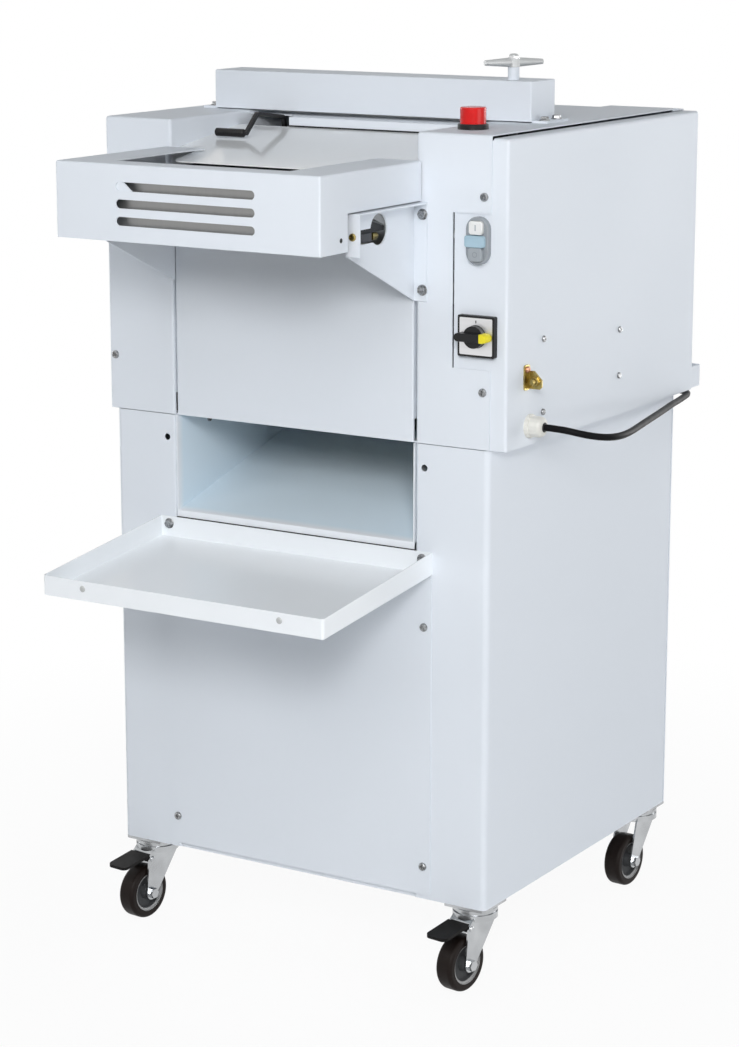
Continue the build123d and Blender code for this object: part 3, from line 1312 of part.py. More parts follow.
def brake_pedal(caster):
    half = FORK_GAP / 2 - SEAT
    tread_u = PEDAL_U + PEDAL_START
    tread_w = PEDAL_W + PEDAL_RISE
    tread_end = (tread_u + PEDAL_LENGTH, tread_w - PEDAL_FALL)
    with BuildPart() as piece:
        with BuildSketch(caster.upright(0), mode=Mode.PRIVATE) as arm:
            with Locations(pedal_c):
                Circle(PEDAL_EYE_R - EDGE)
            with Locations((tread_u + PEDAL_THICK, tread_w - PEDAL_THICK)):
                Circle(PEDAL_THICK / 2)
            make_hull()
        extrude(arm.sketch, amount=half, both=True)
        with BuildSketch(caster.upright(0), mode=Mode.PRIVATE) as tread:
            with BuildLine():
                Polyline(
                    (tread_u, tread_w), tread_end, (tread_end[0], tread_end[1] - PEDAL_THICK),
                    (tread_u, tread_w - PEDAL_THICK), close=True,
                )
            make_face()
        extrude(tread.sketch, amount=PEDAL_WIDTH / 2, both=True)
        upright = piece.edges().filter_by(Axis.Z)
        outward = upright.sort_by(lambda edge: (edge.center() - caster.centre).dot(caster.u))
        fillet(outward[-2:], CORNER_BEND)
        rod(caster.upright(-half - FORK_SHEET), pedal_c, PEDAL_PIN_R, -2 * (half + FORK_SHEET))
    return piece


for caster in casters:
    keep(fork(caster), f"caster_fork_{caster.name}")
    keep(wheel(caster), f"caster_wheel_{caster.name}")
    if caster.braked:
        keep(brake_pedal(caster), f"brake_pedal_{caster.name}")

# Mains lead: out of the gland, along the cover, under the ledge and down behind the pedestal
cord_floor = CORD_R + SEAT - CASTER_HEIGHT
cord_route = [
    (cover_x + GLAND_REACH, GLAND_Y, PED_HEIGHT + GLAND_Z),
    (366, GLAND_Y, PED_HEIGHT + GLAND_Z),
    (390, 72.5, 629.5),
    (407, 92, 624.5),
    (415, 117, 622),
    (412, 156, 620.5),
    (400, 210, 619.5),
    (385, 268, 617),
    (370, 325, 614),
    (354.5, 382, 611),
    (339, 436, 608),
    (328, 482, 605.5),
    (308, 567, 604),
    (208, 573, 602),
    (195, 577, 490),
    (190, 580, 320),
    (187, 581, 150),
    (182, 581, 75),
    (170, 580, 4),
    (148, 578, -48),
    (120, 575, -83.5),
    (86, 571, -103.5),
    (48, 567, cord_floor),
    (8, 565, cord_floor),
]
cord_points = [Vector(*at(*point)) for point in cord_route]
cord_runs = [b - a for a, b in zip(cord_points, cord_points[1:])]
cord_turns = [a.get_angle(b) for a, b in zip(cord_runs, cord_runs[1:])]
cord_radii = [
    0.45 * min(a.length, b.length) / tan(radians(turn / 2))
    for a, b, turn in zip(cord_runs, cord_runs[1:], cord_turns)
]
with BuildPart() as power_cord:
    with BuildLine() as cord_line:
        FilletPolyline(*cord_points, radius=cord_radii)
    with BuildSketch(Plane(origin=cord_points[0], z_dir=cord_runs[0])):
        Circle(CORD_R)
    sweep()
cord_length = cord_line.wire().length
print("cord radii", [round(radius) for radius in cord_radii])
print("cord volume share", power_cord.part.volume / (pi * CORD_R**2 * cord_length))
keep(power_cord, "power_cord")

# Spare length, coiled on the floor in two layers that wind in and out again
coil_ahead = cord_runs[-1].normalized()
coil_aside = coil_ahead.cross(Vector(0, 0, 1))
coil_up = Vector(0, 0, COIL_PITCH)


def coil_point(ahead, aside, layer):
    """Place in the coil: along the lead's last run, to its side, and the layer."""
    start = cord_points[-1] + coil_ahead * 2 * CORD_R
    return start + coil_ahead * ahead + coil_aside * aside + coil_up * layer


winding = [COIL_R - COIL_PITCH * half / 2 for half in range(COIL_HALF_TURNS)]
climb_r = COIL_R - COIL_PITCH * COIL_HALF_TURNS / 2
with BuildPart() as cord_coil:
    with BuildLine() as coil_line:
        Line(cord_points[-1], coil_point(0, 0, 0))
        aside = 0
        ahead = 1
        for r in winding:
            far = aside + 2 * r * ahead
            bow = coil_point(r * ahead, (aside + far) / 2, 0)
            ThreePointArc(coil_point(0, aside, 0), bow, coil_point(0, far, 0))
            aside = far
            ahead = -ahead
        far = aside + 2 * climb_r * ahead
        climb_bow = hypot(climb_r, COIL_PITCH / 2)
        middle = coil_point(climb_bow * ahead, (aside + far) / 2, 0.5)
        TangentArc(coil_point(0, aside, 0), middle, tangent=coil_ahead * ahead)
        TangentArc(middle, coil_point(0, far, 1), tangent=coil_point(0, far, 1) - coil_point(0, aside, 0))
        aside = far
        ahead = -ahead
        for r in reversed(winding):
            far = aside + 2 * r * ahead
            bow = coil_point(r * ahead, (aside + far) / 2, 1)
            ThreePointArc(coil_point(0, aside, 1), bow, coil_point(0, far, 1))
            aside = far
            ahead = -ahead
        Line(coil_point(0, aside, 1), coil_point(2 * CORD_R * ahead, aside, 1))
    with BuildSketch(Plane(origin=cord_points[-1], z_dir=coil_ahead)):
        Circle(CORD_R)
    sweep()
coil_wire = coil_line.wire()
samples = [coil_wire.position_at(step / 400) for step in range(401)]
apart = int(400 * 3 * COIL_PITCH / coil_wire.length) + 1
least = min((a - b).length for i, a in enumerate(samples) for b in samples[i + apart:])
print("coil least gap", round(least - 2 * CORD_R, 2), "lead length", round(cord_length + coil_wire.length))
keep(cord_coil, "cord_coil")

# Plug on the floor beside the coil
plug_start = coil_point(2 * CORD_R * ahead, aside, 1)
plug_dir = coil_ahead * ahead
plug_plane = Plane(origin=plug_start, x_dir=plug_dir, z_dir=(0, 0, 1))
with BuildPart() as plug:
    with BuildSketch(plug_plane):
        with BuildLine():
            Polyline(
                (0, 0), (0, CORD_R + 1), (PLUG_RELIEF, PLUG_R * 0.7), (PLUG_RELIEF + 6, PLUG_R),
                (PLUG_LENGTH, PLUG_R), (PLUG_LENGTH, 0), close=True,
            )
        make_face()
    revolve(axis=Axis(plug_start, plug_dir))
    pin_plane = Plane(origin=plug_start + plug_dir * PLUG_LENGTH, z_dir=plug_dir)
    with BuildSketch(pin_plane):
        with Locations((-PIN_PITCH / 2, 0), (PIN_PITCH / 2, 0)):
            Circle(PIN_R)
    extrude(amount=PIN_LENGTH)
keep(plug, "plug")
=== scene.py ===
import json
from math import cos, pi, radians, sin

import bmesh
import bpy
from mathutils import Matrix, Vector


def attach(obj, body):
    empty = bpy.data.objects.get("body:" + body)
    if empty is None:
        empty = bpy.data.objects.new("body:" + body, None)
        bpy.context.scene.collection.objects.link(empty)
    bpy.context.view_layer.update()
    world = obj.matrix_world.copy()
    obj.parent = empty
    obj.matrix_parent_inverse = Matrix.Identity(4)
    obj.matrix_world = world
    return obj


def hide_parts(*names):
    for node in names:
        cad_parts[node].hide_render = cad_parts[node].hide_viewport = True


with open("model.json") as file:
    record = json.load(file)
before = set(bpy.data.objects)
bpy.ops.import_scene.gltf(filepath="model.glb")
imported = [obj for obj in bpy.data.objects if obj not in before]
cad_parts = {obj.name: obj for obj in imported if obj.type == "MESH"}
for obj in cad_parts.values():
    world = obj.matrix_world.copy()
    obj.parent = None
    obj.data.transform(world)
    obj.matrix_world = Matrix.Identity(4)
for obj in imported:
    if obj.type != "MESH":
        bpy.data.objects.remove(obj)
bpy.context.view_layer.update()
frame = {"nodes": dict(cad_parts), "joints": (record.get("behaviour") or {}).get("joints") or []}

nodes = frame["nodes"]

# Machine coordinates in millimetres: x from the roller centre plane, y back from the
# front face, z up from the pedestal's underside, as the CAD part counts them.
MM = 0.001
CENTRE_X = -21.5
FRONT_Y = -163.0
CASTER_HEIGHT = 114.5


def place(x, y, z):
    """Machine millimetres to the part's frame in metres."""
    return Vector((CENTRE_X + x, FRONT_Y + y, CASTER_HEIGHT + z)) * MM


# Camera, fitted to the photograph's edges
CAMERA_AT = place(1958.1, -2972.8, 1288.0)
CAMERA_AZIMUTH = 31.744
CAMERA_ELEVATION = 12.749
CAMERA_FOCAL_PX = 2769.7
PHOTO_HEIGHT_PX = 1047
SENSOR_MM = 36.0

camera_data = bpy.data.cameras.new("camera")
camera_data.sensor_width = SENSOR_MM
camera_data.lens = CAMERA_FOCAL_PX * SENSOR_MM / PHOTO_HEIGHT_PX
camera_data.clip_end = 50
camera = bpy.data.objects.new("camera", camera_data)
camera.location = CAMERA_AT
camera.rotation_euler = (radians(90 - CAMERA_ELEVATION), 0, radians(CAMERA_AZIMUTH))
bpy.context.collection.objects.link(camera)
bpy.context.scene.camera = camera

# Mains lead: the route of the CAD tube, then the turns of its coil
CORD_R = 4.5
COIL_R = 54.0
COIL_PITCH = 9.6
COIL_HALF_TURNS = 3
COIL_STEPS = 8
CORD_FLOOR = -109.7
CORD_ROUTE = [
    (340, 62, 635.5),
    (366, 62, 635.5),
    (390, 72.5, 629.5),
    (407, 92, 624.5),
    (415, 117, 622),
    (412, 156, 620.5),
    (400, 210, 619.5),
    (385, 268, 617),
    (370, 325, 614),
    (354.5, 382, 611),
    (339, 436, 608),
    (328, 482, 605.5),
    (308, 567, 604),
    (208, 573, 602),
    (195, 577, 490),
    (190, 580, 320),
    (187, 581, 150),
    (182, 581, 75),
    (170, 580, 4),
    (148, 578, -48),
    (120, 575, -83.5),
    (86, 571, -103.5),
    (48, 567, CORD_FLOOR),
    (8, 565, CORD_FLOOR),
]


def coil_layer(half, turn):
    """Height of the coil in layers: the lower one, the climbing half turn, the upper one."""
    if half == COIL_HALF_TURNS:
        return (1 - cos(turn)) / 2
    return 0 if half < COIL_HALF_TURNS else 1


def coil_points(start, ahead):
    """Control points of the coil: half turns that wind in, climb a layer and wind out."""
    aside = ahead.cross(Vector((0, 0, 1)))
    up = Vector((0, 0, COIL_PITCH))
    winding = [COIL_R - COIL_PITCH * half / 2 for half in range(COIL_HALF_TURNS)]
    climb = COIL_R - COIL_PITCH * COIL_HALF_TURNS / 2
    points = []
    edge = 0.0
    way = 1
    for half, radius in enumerate(winding + [climb] + winding[::-1]):
        for step in range(COIL_STEPS):
            turn = pi * step / COIL_STEPS
            forward = radius * way * sin(turn)
            sideways = edge + way * radius * (1 - cos(turn))
            height = up * coil_layer(half, turn)
            points.append(start + ahead * forward + aside * sideways + height)
        edge += 2 * radius * way
        way = -way
    points.append(start + aside * edge + up)
    points.append(points[-1] + ahead * way * 2 * CORD_R)
    return points


def mains_lead():
    """One smooth curve from the gland to the plug."""
    route = [Vector(point) for point in CORD_ROUTE]
    ahead = (route[-1] - route[-2]).normalized()
    route += coil_points(route[-1] + ahead * 2 * CORD_R, ahead)
    data = bpy.data.curves.new("mains_lead", "CURVE")
    data.dimensions = "3D"
    data.bevel_depth = 1.0
    data.bevel_resolution = 4
    data.resolution_u = 6
    data.use_fill_caps = True
    spline = data.splines.new("NURBS")
    spline.points.add(len(route) - 1)
    for control, point in zip(spline.points, route):
        control.co = (*place(*point), 1)
        control.radius = CORD_R * MM
    spline.order_u = 3
    spline.use_endpoint_u = True
    piece = bpy.data.objects.new("mains_lead", data)
    bpy.context.collection.objects.link(piece)
    return piece


lead = mains_lead()
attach(lead, "casing")
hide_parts("power_cord", "cord_coil")


# Parts of the node materials
def new_material(name):
    made = bpy.data.materials.new(name)
    made.use_nodes = True
    tree = made.node_tree
    return made, tree, tree.nodes["Principled BSDF"]


def object_coords(tree):
    return tree.nodes.new("ShaderNodeTexCoord").outputs["Object"]


def noise(tree, scale, detail=3.0, stretch=(1, 1, 1)):
    """Noise in the object's own coordinates."""
    mapping = tree.nodes.new("ShaderNodeMapping")
    mapping.inputs["Scale"].default_value = stretch
    tree.links.new(object_coords(tree), mapping.inputs["Vector"])
    texture = tree.nodes.new("ShaderNodeTexNoise")
    texture.inputs["Scale"].default_value = scale
    texture.inputs["Detail"].default_value = detail
    tree.links.new(mapping.outputs["Vector"], texture.inputs["Vector"])
    return texture.outputs["Fac"]


def ramp(tree, factor, *stops, steps=False):
    """Colours along a 0 to 1 value, as (position, colour) stops."""
    node = tree.nodes.new("ShaderNodeValToRGB")
    node.color_ramp.interpolation = "CONSTANT" if steps else "LINEAR"
    elements = node.color_ramp.elements
    while len(elements) < len(stops):
        elements.new(1.0)
    for element, (position, color) in zip(elements, stops):
        element.position = position
        element.color = (*color, 1)
    tree.links.new(factor, node.inputs["Fac"])
    return node.outputs["Color"]


def span(tree, factor, low, high, start=0.0, end=1.0):
    """Map a value from one range on to another."""
    node = tree.nodes.new("ShaderNodeMapRange")
    node.inputs["From Min"].default_value = start
    node.inputs["From Max"].default_value = end
    node.inputs["To Min"].default_value = low
    node.inputs["To Max"].default_value = high
    tree.links.new(factor, node.inputs["Value"])
    return node.outputs["Result"]


def bump(tree, shader, height, strength, distance):
    node = tree.nodes.new("ShaderNodeBump")
    node.inputs["Strength"].default_value = strength
    node.inputs["Distance"].default_value = distance
    tree.links.new(height, node.inputs["Height"])
    tree.links.new(node.outputs["Normal"], shader.inputs["Normal"])


def vector_node(tree, operation, source, constant=None):
    node = tree.nodes.new("ShaderNodeVectorMath")
    node.operation = operation
    tree.links.new(source, node.inputs[0])
    if constant is not None:
        node.inputs[1].default_value = constant
    return node


def math_node(tree, operation, first, second):
    node = tree.nodes.new("ShaderNodeMath")
    node.operation = operation
    tree.links.new(first, node.inputs[0])
    tree.links.new(second, node.inputs[1])
    return node.outputs[0]


CLOUD_DETAIL = 1.5
CLOUD_LOW = 0.2
CLOUD_HIGH = 0.8
GLOSS_SPREAD = 0.2


def shade(color, factor):
    return tuple(channel * factor for channel in color)


def cloudy_gloss(tree, shader, cloud, rough):
    """Roughness that changes a little with a cloud of noise."""
    duller = rough * (1 + GLOSS_SPREAD)
    glossier = rough * (1 - GLOSS_SPREAD)
    tree.links.new(span(tree, cloud, duller, glossier), shader.inputs["Roughness"])


def mottled(tree, shader, scale, color, darkest, rough):
    """Soft change of colour and roughness over the surface."""
    cloud = noise(tree, scale, CLOUD_DETAIL)
    tone = ramp(tree, cloud, (CLOUD_LOW, shade(color, darkest)), (CLOUD_HIGH, color))
    tree.links.new(tone, shader.inputs["Base Color"])
    cloudy_gloss(tree, shader, cloud, rough)


# Kinds of finish
PAINT_CLOUD = 3.0
PAINT_DARKEST = 0.985
COAT_ROUGH = 0.08


def orange_peel(tree, shader):
    bump(tree, shader, noise(tree, scale=700.0, detail=2.0), strength=0.04, distance=0.0004)


def paint(name, color, rough, coat, specular=0.5):
    """Baked powder paint: faint orange peel and cloudy gloss."""
    made, tree, shader = new_material(name)
    mottled(tree, shader, PAINT_CLOUD, color, PAINT_DARKEST, rough)
    shader.inputs["Specular IOR Level"].default_value = specular
    shader.inputs["Coat Weight"].default_value = coat
    shader.inputs["Coat Roughness"].default_value = COAT_ROUGH
    orange_peel(tree, shader)
    return made


def light_and_shade_paint(name, outer, inner, edge, fade, rough, specular):
    """Paint with painted light and shade: a paler lit tone that turns to a darker painted shade
    over a distance behind an edge, as in a deep chute.
    """
    made, tree, shader = new_material(name)
    split = tree.nodes.new("ShaderNodeSeparateXYZ")
    tree.links.new(object_coords(tree), split.inputs[0])
    share = span(tree, split.outputs["Y"], 0, 1, edge, edge + fade)
    tree.links.new(ramp(tree, share, (0, outer), (1, inner)), shader.inputs["Base Color"])
    cloudy_gloss(tree, shader, noise(tree, PAINT_CLOUD, CLOUD_DETAIL), rough)
    shader.inputs["Specular IOR Level"].default_value = specular
    orange_peel(tree, shader)
    return made


GRAIN_LOW = 0.3
GRAIN_HIGH = 0.7
GRAIN_DARKEST = 0.93
GRAIN_GLOSSIEST = 0.75
GRAIN_DULLEST = 1.3


def brushed(name, color, rough, stretch):
    """Metal with a fine drawn grain."""
    made, tree, shader = new_material(name)
    grain = noise(tree, scale=220.0, detail=4.0, stretch=stretch)
    tone = ramp(tree, grain, (GRAIN_LOW, shade(color, GRAIN_DARKEST)), (GRAIN_HIGH, color))
    tree.links.new(tone, shader.inputs["Base Color"])
    gloss = span(tree, grain, rough * GRAIN_GLOSSIEST, rough * GRAIN_DULLEST)
    tree.links.new(gloss, shader.inputs["Roughness"])
    shader.inputs["Metallic"].default_value = 1.0
    bump(tree, shader, grain, strength=0.02, distance=0.0002)
    return made


def plated(name, color, rough, metallic=1.0, scale=40.0, darkest=0.88):
    """Plated or cast metal with a soft mottle."""
    made, tree, shader = new_material(name)
    mottled(tree, shader, scale, color, darkest, rough)
    shader.inputs["Metallic"].default_value = metallic
    bump(tree, shader, noise(tree, scale=500.0), strength=0.04, distance=0.0003)
    return made


MOULD_CLOUD = 45.0
MOULD_DARKEST = 0.88


def moulded(name, color, rough, grain=0.08, specular=0.5):
    """Moulded plastic or rubber with a fine grain."""
    made, tree, shader = new_material(name)
    mottled(tree, shader, MOULD_CLOUD, color, MOULD_DARKEST, rough)
    shader.inputs["Specular IOR Level"].default_value = specular
    bump(tree, shader, noise(tree, scale=1400.0, detail=2.0), strength=grain, distance=0.0003)
    return made


def silicone(name, color, darkest, rough):
    """Cloudy see-through boot."""
    made, tree, shader = new_material(name)
    mottled(tree, shader, MOULD_CLOUD, color, darkest, rough)
    shader.inputs["Transmission Weight"].default_value = 0.35
    shader.inputs["IOR"].default_value = 1.41
    return made


THREAD_SCALE = 160.0
THREAD_DARKEST = 0.78
THREAD_ROUGH = 0.95
THREAD_SMOOTH = 0.75


def woven(name, color):
    """Belt felt: two crossed bands of thread."""
    made, tree, shader = new_material(name)
    threads = []
    for direction in ("X", "Y"):
        wave = tree.nodes.new("ShaderNodeTexWave")
        wave.bands_direction = direction
        wave.inputs["Scale"].default_value = THREAD_SCALE
        tree.links.new(object_coords(tree), wave.inputs["Vector"])
        threads.append(wave.outputs["Fac"])
    weave = math_node(tree, "MULTIPLY", *threads)
    tone = ramp(tree, weave, (0, shade(color, THREAD_DARKEST)), (1, color))
    tree.links.new(tone, shader.inputs["Base Color"])
    gloss = span(tree, weave, THREAD_ROUGH, THREAD_SMOOTH)
    tree.links.new(gloss, shader.inputs["Roughness"])
    bump(tree, shader, weave, strength=0.3, distance=0.0006)
    return made


# Caster wheel: radii in metres, and the colours between them
WHEEL_R = 0.0375
RIM_R = 0.027
RIM_LIP = 0.0235
HUB_COLOR = (0.06, 0.062, 0.065)
LIP_COLOR = (0.4, 0.4, 0.4)
TYRE_COLOR = (0.011, 0.0072, 0.006)
TYRE_SPECULAR = 0.12


def wheel_finish(name, axle, axis):
    """Dark tyre, pale rim lip and grey hub, told apart by the distance from the axle."""
    made, tree, shader = new_material(name)
    offset = vector_node(tree, "SUBTRACT", object_coords(tree), axle)
    across = vector_node(tree, "CROSS_PRODUCT", offset.outputs[0], axis)
    radius = vector_node(tree, "LENGTH", across.outputs[0]).outputs["Value"]
    share = span(tree, radius, 0, 1, 0, WHEEL_R)
    zones = [(0, HUB_COLOR), (RIM_LIP / WHEEL_R, LIP_COLOR), (RIM_R / WHEEL_R, TYRE_COLOR)]
    tree.links.new(ramp(tree, share, *zones, steps=True), shader.inputs["Base Color"])
    shader.inputs["Specular IOR Level"].default_value = TYRE_SPECULAR
    grain = noise(tree, scale=260.0)
    tree.links.new(span(tree, grain, low=0.32, high=0.6), shader.inputs["Roughness"])
    bump(tree, shader, grain, strength=0.12, distance=0.0005)
    return made


# Plug: moulded body and bare pins
PLUG_BLACK = (0.014, 0.014, 0.016)
PIN_BRASS = (0.6, 0.5, 0.3)
BLACK = (0, 0, 0)
WHITE = (1, 1, 1)
HALF_WAY = 0.5


def tipped_finish(name, start, direction, length):
    """Black moulding up to a distance along a direction, bare metal past it."""
    made, tree, shader = new_material(name)
    offset = vector_node(tree, "SUBTRACT", object_coords(tree), start)
    along = vector_node(tree, "DOT_PRODUCT", offset.outputs[0], direction).outputs["Value"]
    share = span(tree, along, 0, 1, 0, 2 * length)
    tone = ramp(tree, share, (0, PLUG_BLACK), (HALF_WAY, PIN_BRASS), steps=True)
    tree.links.new(tone, shader.inputs["Base Color"])
    bare = ramp(tree, share, (0, BLACK), (HALF_WAY, WHITE), steps=True)
    tree.links.new(bare, shader.inputs["Metallic"])
    grain = noise(tree, scale=400.0)
    tree.links.new(span(tree, grain, low=0.3, high=0.5), shader.inputs["Roughness"])
    bump(tree, shader, grain, strength=0.1, distance=0.0004)
    return made


# The finishes themselves, with colours in linear light
# Chute: white paint drawn paler at its mouth as painted light, fading into a darker, bluer painted
# shade behind its front edge
CHUTE_SHADE_EDGE = place(0, 2.5, 0).y
CHUTE_SHADE_FADE = 12 * MM
white_paint = paint("white_paint", (0.765, 0.805, 0.86), rough=0.45, coat=0.0, specular=0.05)
# Deck and tray: the casing's white paint made paler, as painted light on these upward floors;
# their glossier finish is their own
deck_lit_paint = paint("deck_lit_paint", (0.94, 0.96, 0.975), rough=0.14, coat=0.25, specular=0.35)
tray_lit_paint = paint("tray_lit_paint", (0.9, 0.93, 0.96), rough=0.2, coat=0.06, specular=0.3)
chute_painted_light_and_shade = light_and_shade_paint(
    "chute_painted_light_and_shade",
    outer=(0.86, 0.89, 0.93),
    inner=(0.74, 0.86, 0.95),
    edge=CHUTE_SHADE_EDGE,
    fade=CHUTE_SHADE_FADE,
    rough=0.4,
    specular=0.12,
)
stainless = brushed("stainless", (0.335, 0.335, 0.33), rough=0.42, stretch=(1, 0.05, 0.05))
silver_plate = brushed("silver_plate", (0.72, 0.72, 0.73), rough=0.4, stretch=(0.05, 1, 1))
zinc = plated("zinc", (0.56, 0.575, 0.59), rough=0.26, scale=30.0, darkest=0.72)
screw_zinc = plated("screw_zinc", (0.5, 0.51, 0.52), rough=0.3, scale=330.0, darkest=0.16)
chrome = plated("chrome", (0.8, 0.8, 0.81), rough=0.12)
blackened = plated("blackened", (0.02, 0.02, 0.022), rough=0.45, metallic=0.6)
dark_steel = plated("dark_steel", (0.1, 0.1, 0.105), rough=0.4, metallic=0.9)
gear_steel = plated("gear_steel", (0.5, 0.5, 0.52), rough=0.35)
alloy = plated("alloy", (0.52, 0.53, 0.53), rough=0.45, metallic=0.4)
brass = plated("brass", (0.62, 0.49, 0.18), rough=0.28, scale=160.0, darkest=0.4)
copper = plated("copper", (0.45, 0.24, 0.16), rough=0.34)
motor_paint = paint("motor_paint", (0.12, 0.13, 0.15), rough=0.4, coat=0.1)
nylon = moulded("nylon", (0.78, 0.78, 0.74), rough=0.4)
black_plastic = moulded("black_plastic", (0.008, 0.008, 0.0085), rough=0.36, specular=0.3)
grey_plastic = moulded("grey_plastic", (0.36, 0.39, 0.42), rough=0.35)
white_plastic = moulded("white_plastic", (0.85, 0.85, 0.84), rough=0.3)
lens_plastic = moulded("lens_plastic", (0.4, 0.56, 0.66), rough=0.2)
red_plastic = moulded("red_plastic", (0.72, 0.008, 0.008), rough=0.22, specular=0.3)
yellow_plastic = moulded("yellow_plastic", (0.86, 0.74, 0.02), rough=0.35)
gland_plastic = moulded("gland_plastic", (0.76, 0.75, 0.7), rough=0.4)
pedal_plastic = moulded("pedal_plastic", (0.006, 0.0055, 0.0055), rough=0.5, specular=0.12)
cord_rubber = moulded("cord_rubber", (0.007, 0.007, 0.008), rough=0.45, grain=0.12, specular=0.06)
boot_silicone = silicone("boot_silicone", (0.5, 0.54, 0.58), darkest=0.85, rough=0.18)
belt_felt = woven("belt_felt", (0.72, 0.68, 0.58))
lead.data.materials.append(cord_rubber)


# Finishes of the CAD nodes
def dress(material, *names):
    """Give CAD nodes a material in place of their plain one."""
    for name in names:
        slots = nodes[name].material_slots
        if not slots:
            nodes[name].data.materials.append(material)
        for slot in slots:
            slot.material = material


dress(white_paint, "pedestal_left_side", "pedestal_right_side", "pedestal_floor")
dress(white_paint, "lower_front_panel", "back_panels", "head_base", "left_tower", "right_tower")
dress(white_paint, "right_side_cover", "upper_front_panel", "top_bar", "top_plate")
dress(white_paint, "guard_brackets", "feed_guard")
dress(chute_painted_light_and_shade, "discharge_chute")
dress(deck_lit_paint, "feed_deck")
dress(tray_lit_paint, "exit_tray")
dress(stainless, "feed_slide")
dress(zinc, "caster_plates")
dress(dark_steel, "frame_plates")
dress(blackened, "gap_lever")
dress(gear_steel, "shaft_bearings", "front_roller_gear", "rear_roller_gear", "drive_gear")
dress(gear_steel, "drive_roller", "idler_roller")
dress(nylon, "front_roller", "rear_roller")
dress(alloy, "roller_carriage", "pressure_handle")
dress(motor_paint, "gearmotor")
dress(belt_felt, "moulding_belt")
dress(black_plastic, "interlock_switch", "switch_body", "switch_knob", "estop_base")
dress(pedal_plastic, "brake_pedal_front_left", "brake_pedal_front_right")
dress(boot_silicone, "button_housing")
dress(grey_plastic, "stop_button")
dress(white_plastic, "start_button", "pressure_board")
dress(red_plastic, "estop_button")

for joint in frame["joints"]:
    if joint["child"].startswith("wheel_"):
        corner = joint["child"].removeprefix("wheel_")
        finish = wheel_finish(f"tyre_{corner}", joint["pos_m"], joint["axis"])
        dress(finish, f"caster_wheel_{corner}")
        dress(zinc, f"caster_fork_{corner}")

PLUG_LENGTH = 58.0
lead_points = lead.data.splines[0].points
plug_start = Vector(lead_points[-1].co[:3])
plug_way = (plug_start - Vector(lead_points[-2].co[:3])).normalized()
dress(tipped_finish("plug_finish", plug_start, plug_way, PLUG_LENGTH * MM), "plug")

# Small pieces, built as meshes in machine millimetres
FRONT = (0, -1, 0)
BACK = (0, 1, 0)
RIGHT = (1, 0, 0)
LEFT = (-1, 0, 0)
UP = (0, 0, 1)
SHARP_EDGE = radians(38)
ROUND_STEPS = 32
HEX_STEPS = 24
FLUTE_STEPS = 6
CORNER_STEPS = 7


def facing(at, axis):
    """Matrix of a piece at a point of the part's frame, with its own z along an axis."""
    turn = Vector(axis).to_track_quat("Z", "Y").to_matrix().to_4x4()
    return Matrix.Translation(at) @ turn @ Matrix.Scale(MM, 4)


def stand(point, axis):
    """Matrix of a piece that stands on a machine point."""
    return facing(place(*point), axis)


def circle(radius, steps=ROUND_STEPS):
    turns = [2 * pi * step / steps for step in range(steps)]
    return [(radius * cos(turn), radius * sin(turn)) for turn in turns]


def hexagon(flats):
    """Points round a hexagon, as many as the crown of its head has."""
    points = []
    for step in range(HEX_STEPS):
        turn = 2 * pi * step / HEX_STEPS
        radius = flats / 2 / cos(turn % (pi / 3) - pi / 6)
        points.append((radius * cos(turn), radius * sin(turn)))
    return points


def fluted(radius, flutes, depth):
    """Round outline with shallow grip flutes."""
    steps = flutes * FLUTE_STEPS
    points = []
    for step in range(steps):
        turn = 2 * pi * step / steps
        reach = radius - depth * (1 + cos(flutes * turn)) / 2
        points.append((reach * cos(turn), reach * sin(turn)))
    return points


def rounded(width, height, radius):
    """Rectangle with round corners, counted from its right upper corner."""
    points = []
    for quarter, (x, y) in enumerate(((1, 1), (-1, 1), (-1, -1), (1, -1))):
        centre = (x * (width / 2 - radius), y * (height / 2 - radius))
        for step in range(CORNER_STEPS + 1):
            turn = pi / 2 * (quarter + step / CORNER_STEPS)
            points.append((centre[0] + radius * cos(turn), centre[1] + radius * sin(turn)))
    return points


def plus(reach, half):
    """Outline of a cross recess."""
    corner = [(reach, -half), (reach, half), (half, half)]
    points = []
    for x_turn, y_turn in ((1, 0), (0, 1), (-1, 0), (0, -1)):
        points += [(x * x_turn - y * y_turn, x * y_turn + y * x_turn) for x, y in corner]
    return points


def scaled(outline, share):
    return [(x * share, y * share) for x, y in outline]


def ring(mesh, matrix, outline, height):
    return [mesh.verts.new(matrix @ Vector((x, y, height))) for x, y in outline]


def skin(mesh, low, high):
    """Faces between two rings of as many vertices."""
    for index in range(len(low)):
        mesh.faces.new((low[index - 1], low[index], high[index], high[index - 1]))


def stack(mesh, matrix, *layers):
    """Solid from outlines at rising heights, with flat ends."""
    rings = [ring(mesh, matrix, outline, height) for outline, height in layers]
    for low, high in zip(rings, rings[1:]):
        skin(mesh, low, high)
    mesh.faces.new(rings[0])
    mesh.faces.new(rings[-1])


def slab(mesh, matrix, outline, low, high):
    """Straight solid over one outline."""
    stack(mesh, matrix, (outline, low), (outline, high))


def hoop(mesh, matrix, outer, inner, low, high):
    """Solid between an outer and an inner outline of as many points."""
    corners = ((outer, low), (outer, high), (inner, high), (inner, low))
    rings = [ring(mesh, matrix, outline, height) for outline, height in corners]
    for index in range(len(rings)):
        skin(mesh, rings[index - 1], rings[index])


def lathe(mesh, matrix, profile, steps=ROUND_STEPS):
    """Solid turned round its own z from (radius, height) steps."""
    stack(mesh, matrix, *[(circle(radius, steps), height) for radius, height in profile])


def ring_edges(rings):
    """Edges that run along rings of vertices."""
    return [
        edge
        for loop in rings
        for index in range(len(loop))
        for edge in loop[index].link_edges
        if edge.other_vert(loop[index]) == loop[index - 1]
    ]


# Cross-recessed head, in shares of its radius and its height
PAN_STEPS = ((1, 0), (1, 0.4), (0.93, 0.74), (0.76, 1))
RECESS_MOUTH = (0.58, 0.13)
RECESS_FOOT = (0.4, 0.1)
RECESS_FLOOR = 0.35


